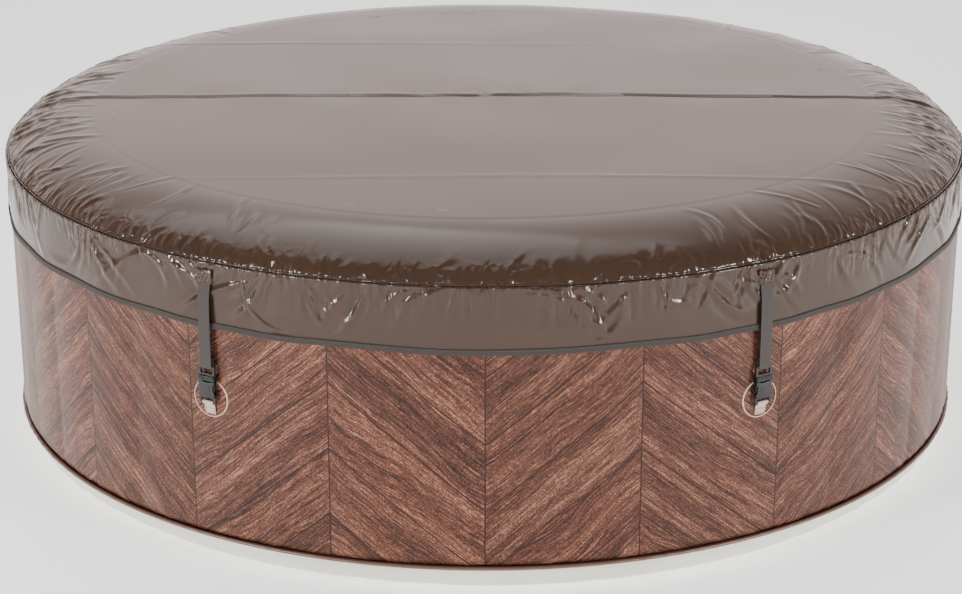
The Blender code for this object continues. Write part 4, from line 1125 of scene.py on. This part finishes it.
def strap(index, azimuth):
    """Webbing strap from under its sewn tab, over the hem, down round the buckle's upper bar."""
    sheet = SKIRT_R - WALL_R + 0.0016
    low = STRAP_LOW + 0.0010
    line = [(sheet, STRAP_TOP - 0.001), (sheet + 0.0006, STRAP_TOP - 0.026), (0.0118, STRAP_TOP - 0.052),
            (0.0134, HEM_TOP), (0.0138, HEM_LOW - 0.020), (0.0131, low + 0.010), (0.0128, low + 0.001),
            (0.0112, low - 0.0012), (0.0066, low - 0.0012), (0.0056, low + 0.002), (0.0056, low + 0.018)]
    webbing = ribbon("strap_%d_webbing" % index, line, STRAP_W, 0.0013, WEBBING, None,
                     front_frame(azimuth), ("strap_%d" % index,))
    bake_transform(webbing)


def strap_tab(index, azimuth):
    """Vinyl tab sewn over the strap's upper end, puckered by its stitches."""
    width, high, low = 0.034, STRAP_TOP + 0.003, STRAP_TOP - 0.0245
    place = front_frame(azimuth)
    base = SKIRT_R - WALL_R
    count_x, count_z = 24, 20
    rng = np.random.default_rng(80 + index)
    phase = rng.uniform(0, 6.28, 4)
    verts, faces = [], []
    for side in (1, 0):
        for i in range(count_z + 1):
            for j in range(count_x + 1):
                u, w = j / count_x * 2 - 1, i / count_z * 2 - 1
                x, z = u * width / 2 * (1 - 0.04 * w * w), (high + low) / 2 + w * (high - low) / 2
                over = 0.0026 * (1 - abs(u) ** 4) * (1 - abs(w) ** 6)
                crumple = 0.0008 * math.sin(9 * u + 4 * w + phase[0]) * math.sin(7 * w - 3 * u + phase[1])
                crumple += 0.0006 * math.sin(17 * u - 6 * w + phase[2]) * math.sin(5 * u + phase[3])
                out = base + 0.0012 + (over + crumple + 0.0016 if side else 0.0)
                verts.append(place @ Vector((x, -out, z)))
    n = (count_x + 1) * (count_z + 1)
    for i in range(count_z):
        for j in range(count_x):
            a = i * (count_x + 1) + j
            quad = (a, a + 1, a + count_x + 2, a + count_x + 1)
            faces += [quad, tuple(n + k for k in quad[::-1])]
    rim = list(range(count_x + 1)) + [(i + 1) * (count_x + 1) - 1 for i in range(1, count_z + 1)]
    rim += [count_z * (count_x + 1) + j for j in range(count_x - 1, -1, -1)]
    rim += [i * (count_x + 1) for i in range(count_z - 1, 0, -1)]
    for p, q in zip(rim, rim[1:] + rim[:1]):
        faces.append((p, n + p, n + q, q))
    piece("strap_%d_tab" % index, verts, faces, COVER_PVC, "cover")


# ---- built-in unit ----------------------------------------------------------------
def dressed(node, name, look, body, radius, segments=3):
    """A moulded part from its node's shape, with its edges rounded."""
    source = bpy.data.objects[node].data
    bm = bmesh.new()
    bm.from_mesh(source)
    bmesh.ops.remove_doubles(bm, verts=bm.verts, dist=0.00001)
    bmesh.ops.dissolve_limit(bm, angle_limit=math.radians(1), verts=bm.verts, edges=bm.edges)
    edges = [e for e in bm.edges if e.is_manifold and e.calc_face_angle() > math.radians(50)]
    bmesh.ops.bevel(bm, geom=edges, offset=radius, segments=segments, profile=0.5, affect="EDGES",
                    clamp_overlap=True)
    verts = [v.co.copy() for v in bm.verts]
    faces = [tuple(v.index for v in f.verts) for f in bm.faces]
    bm.free()
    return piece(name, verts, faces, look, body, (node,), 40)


def unit():
    """Heater unit in the tub's rear wall: case, lid with keys, filter, nozzle and motors."""
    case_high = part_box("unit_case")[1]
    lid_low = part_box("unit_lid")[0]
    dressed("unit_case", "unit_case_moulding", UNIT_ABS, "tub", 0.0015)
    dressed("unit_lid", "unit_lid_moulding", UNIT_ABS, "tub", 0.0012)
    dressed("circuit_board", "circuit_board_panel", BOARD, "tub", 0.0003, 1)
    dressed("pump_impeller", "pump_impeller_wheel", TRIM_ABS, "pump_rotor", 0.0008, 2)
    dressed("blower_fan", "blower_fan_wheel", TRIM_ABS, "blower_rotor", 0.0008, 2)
    gland_x, gland_y = case_high.x - 0.048, case_high.y - 0.038
    nut = [(0.0, 0.010), (0.0110, 0.010), (0.0110, 0.0180), (0.0100, 0.0190), (0.0100, 0.0212),
           (0.0085, 0.0226), (0.0055, 0.0230), (0.0050, 0.0215), (0.0, 0.0215)]
    turned_piece("cord_gland_nut", nut, Matrix.Translation((gland_x, gland_y, lid_low.z + 0.0012)), ACETAL,
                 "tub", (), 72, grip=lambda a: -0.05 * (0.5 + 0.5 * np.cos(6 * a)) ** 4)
    for i in (1, 2, 3):
        low, high, middle = span("button_%d" % i)
        r = (high.x - low.x) / 2
        tall = high.z - low.z
        key = [(0.0, 0.0), (r, 0.0), (r, tall - 0.0016), (r - 0.0006, tall - 0.0004),
               (r - 0.002, tall), (r * 0.45, tall - 0.0012), (0.0, tall - 0.0014)]
        turned_piece("key_%d" % i, key, Matrix.Translation((middle.x, middle.y, low.z)), TRIM_ABS,
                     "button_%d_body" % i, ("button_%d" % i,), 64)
    motor("pump_body", "pump_housing")
    motor("blower_body", "blower_housing")
    heater()
    filter_and_nozzle()


def motor(node, name):
    """Bell housing with its motor can on top."""
    low, high, middle = span(node)
    r = (high.x - low.x) / 2
    tall = high.z - low.z
    bell = tall - 0.060
    line = [(0.0, tall), (r * 0.60, tall), (r * 0.65, tall - 0.003), (r * 0.65, bell + 0.008),
            (r * 0.70, bell + 0.004), (r - 0.003, bell), (r, bell - 0.003), (r, 0.0), (r - 0.004, 0.0),
            (r - 0.004, bell - 0.004), (0.005, bell - 0.004), (0.005, 0.012), (0.0, 0.012)]
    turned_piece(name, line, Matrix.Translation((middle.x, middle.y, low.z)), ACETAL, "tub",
                 (node,), 96)


def tube_rings(line, place):
    """Rings of an open turned tube from its (radius, height) points."""
    a = azimuths(72)
    rings = []
    for radius, h in line:
        points = np.stack([radius * np.cos(a), radius * np.sin(a), np.full(72, h)], 1)
        rings.append(np.array([place @ Vector(p) for p in points]))
    return rings


def heater():
    """Heater tube with rolled ends, lying along the unit."""
    low, high, middle = span("heater_tube")
    size = high - low
    axis = 0 if size.x > size.z else 2
    long = size[axis]
    r = min(size.x, size.y, size.z) / 2
    bore = r - 0.004
    line = [(r, 0.004), (r, long - 0.004), (r - 0.0015, long), (bore, long), (bore, 0.0), (r - 0.0015, 0.0)]
    turn = Matrix.Rotation(math.pi / 2, 4, "Y") if axis == 0 else Matrix.Identity(4)
    start = Vector(middle)
    start[axis] = low[axis]
    rings = tube_rings(line, Matrix.Translation(start) @ turn)
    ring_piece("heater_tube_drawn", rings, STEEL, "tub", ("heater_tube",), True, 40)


def filter_and_nozzle():
    """Pleated cartridge behind its bayonet cap, and the nozzle that returns the water."""
    low, high, middle = span("filter_cartridge")
    r, core = (high.x - low.x) / 2, 0.022
    pleats = 48
    rings = []
    for radius, y in ((r, low.y), (r, high.y), (core, high.y), (core, low.y)):
        a = azimuths(pleats * 6)
        fold = 1 - 0.10 * (0.5 + 0.5 * np.cos(pleats * a)) if radius == r else 1.0
        rings.append(np.stack([middle.x + radius * fold * np.cos(a), np.full(len(a), y),
                               middle.z + radius * fold * np.sin(a)], 1))
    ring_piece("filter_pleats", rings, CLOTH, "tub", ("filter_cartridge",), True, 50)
    low, high, middle = span("filter_cap")
    r, thick = (high.x - low.x) / 2, high.y - low.y
    place = Matrix.Translation((middle.x, high.y, middle.z)) @ Matrix.Rotation(math.pi / 2, 4, "X")
    line = [(0.0, 0.0), (r - 0.004, 0.0), (r, 0.003), (r, thick - 0.003), (r - 0.002, thick - 0.0005)]
    line += [(r * 0.72, thick - 0.0005), (r * 0.66, thick - 0.004), (0.0, thick - 0.004)]
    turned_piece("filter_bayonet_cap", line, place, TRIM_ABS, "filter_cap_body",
                 ("filter_cap",), 192, grip=lambda a: -0.02 * (0.5 + 0.5 * np.sin(24 * a)) ** 3)
    bar = plate(rounded(-r * 0.6, r * 0.6, -0.006, 0.006, 0.005), [], 0.0, 0.0070, 0.0015)
    at = Matrix.Translation((middle.x, low.y + 0.0045, middle.z))
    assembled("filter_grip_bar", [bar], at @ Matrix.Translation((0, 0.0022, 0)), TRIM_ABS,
              "filter_cap_body")
    low, high, middle = span("return_nozzle")
    r, long = (high.z - low.z) / 2, high.y - low.y
    place = Matrix.Translation((middle.x, high.y, middle.z)) @ Matrix.Rotation(math.pi / 2, 4, "X")
    bore = r * 0.55
    line = [(bore, 0.0), (r * 0.8, 0.0), (r * 0.8, long * 0.55), (r, long * 0.6), (r, long - 0.002),
            (r - 0.0015, long), (bore + 0.002, long), (bore, long - 0.002)]
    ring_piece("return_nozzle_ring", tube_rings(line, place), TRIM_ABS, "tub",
               ("return_nozzle",), True, 40)


# ---- build ---------------------------------------------------------------------------
printed_wall()
weld_lip()
base_side()
rim_sheet()
pool_wall()
pool_floor()
bubble_channel()
port("air_valve", "air_valve_cap_body")
port("drain", "drain_cap_body")
cover_bladder()
cover_top()
cover_skirt()
cover_welt()
cover_hem()
seam_tapes()
cover_lining()
for number, angle in enumerate(STRAP_AZ, 1):
    patch(number, angle)
    buckle_socket(number, angle)
    buckle_prong(number, angle)
    strap(number, angle)
    strap_tab(number, angle)
unit()

LOOKS = {"base_sheet": BASE_PVC, "wall_baffles": FILM_PVC, "bladder_valve": TRIM_ABS}
for node in CAD_NODES:
    look = LOOKS.get(node.name) or SLOT_LOOK.get(node.get("slot"), TRIM_ABS)
    for holder in node.material_slots:
        holder.material = look


# ---- floor, light and camera ---------------------------------------------------------
def studio():
    """Pale seamless floor, a soft light overhead, three low ones in front and a bright room behind."""
    mesh = bpy.data.meshes.new("floor")
    half = 40.0
    corners = [(-half, -half, 0), (half, -half, 0), (half, half, 0), (-half, half, 0)]
    mesh.from_pydata(corners, [], [(0, 1, 2, 3)])
    floor = bpy.data.objects.new("floor", mesh)
    bpy.context.scene.collection.objects.link(floor)
    mat, tree, shader = begin("seamless_paper", "#F8F8F7", 0.95, Specular_IOR_Level=0.1,
                              Emission_Color=linear("#FFFFFF"), Emission_Strength=0.9)
    fibre = add(tree, "TexNoise", {"Scale": 300.0})
    bump = add(tree, "Bump", {"Height": fibre, "Strength": 0.02, "Distance": 0.001})
    tree.links.new(bump, shader.inputs["Normal"])
    mesh.materials.append(mat)
    for name, at, aim, size, power in (
            ("overhead_softbox", (-0.8, 1.0, 4.2), (0, 0, 0.5), 4.0, 100.0),
            ("left_softbox", (-4.7, -4.1, 1.8), (0, 0, 0.4), 1.2, 430.0),
            ("right_softbox", (4.8, -3.8, 1.7), (0, 0, 0.4), 1.2, 400.0),
            ("low_softbox", (-1.7, -6.2, 1.4), (0, 0, 0.5), 0.6, 24.0)):
        lamp = bpy.data.lights.new(name, "AREA")
        lamp.shape = "SQUARE"
        lamp.size = size
        lamp.energy = power
        lamp_object = bpy.data.objects.new(name, lamp)
        bpy.context.scene.collection.objects.link(lamp_object)
        lamp_object.location = at
        lamp_object.rotation_euler = (Vector(aim) - Vector(at)).to_track_quat("-Z", "Y").to_euler()
    world = bpy.data.worlds.new("white_room")
    bpy.context.scene.world = world
    world.use_nodes = True
    tree = world.node_tree
    out = tree.nodes["Background"]
    facing = add(tree, "TexCoord").node.outputs["Generated"]
    _, y, z = add(tree, "SeparateXYZ", [facing]).node.outputs
    up = add(tree, "MapRange", [z, 0.0, 1.0, 0.0, 0.10])
    behind = add(tree, "MapRange", [y, 0.0, 0.9, 0.04, 1.8])
    level = add(tree, "Math", [up, behind], operation="ADD")
    tree.links.new(level, out.inputs["Strength"])
    out.inputs["Color"].default_value = linear("#FFEFEC")


def camera():
    """One long lens at standing height, tilted down at the tub."""
    tilt_down, turned = 20.09, 0.11
    data = bpy.data.cameras.new("camera")
    data.sensor_width = 36.0
    data.lens = 88.8
    data.clip_end = 200.0
    eye = bpy.data.objects.new("camera", data)
    bpy.context.scene.collection.objects.link(eye)
    eye.location = (0.0, -4.956, 2.030)
    eye.rotation_euler = (math.radians(90 - tilt_down), 0.0, math.radians(turned))
    bpy.context.scene.camera = eye


studio()
camera()
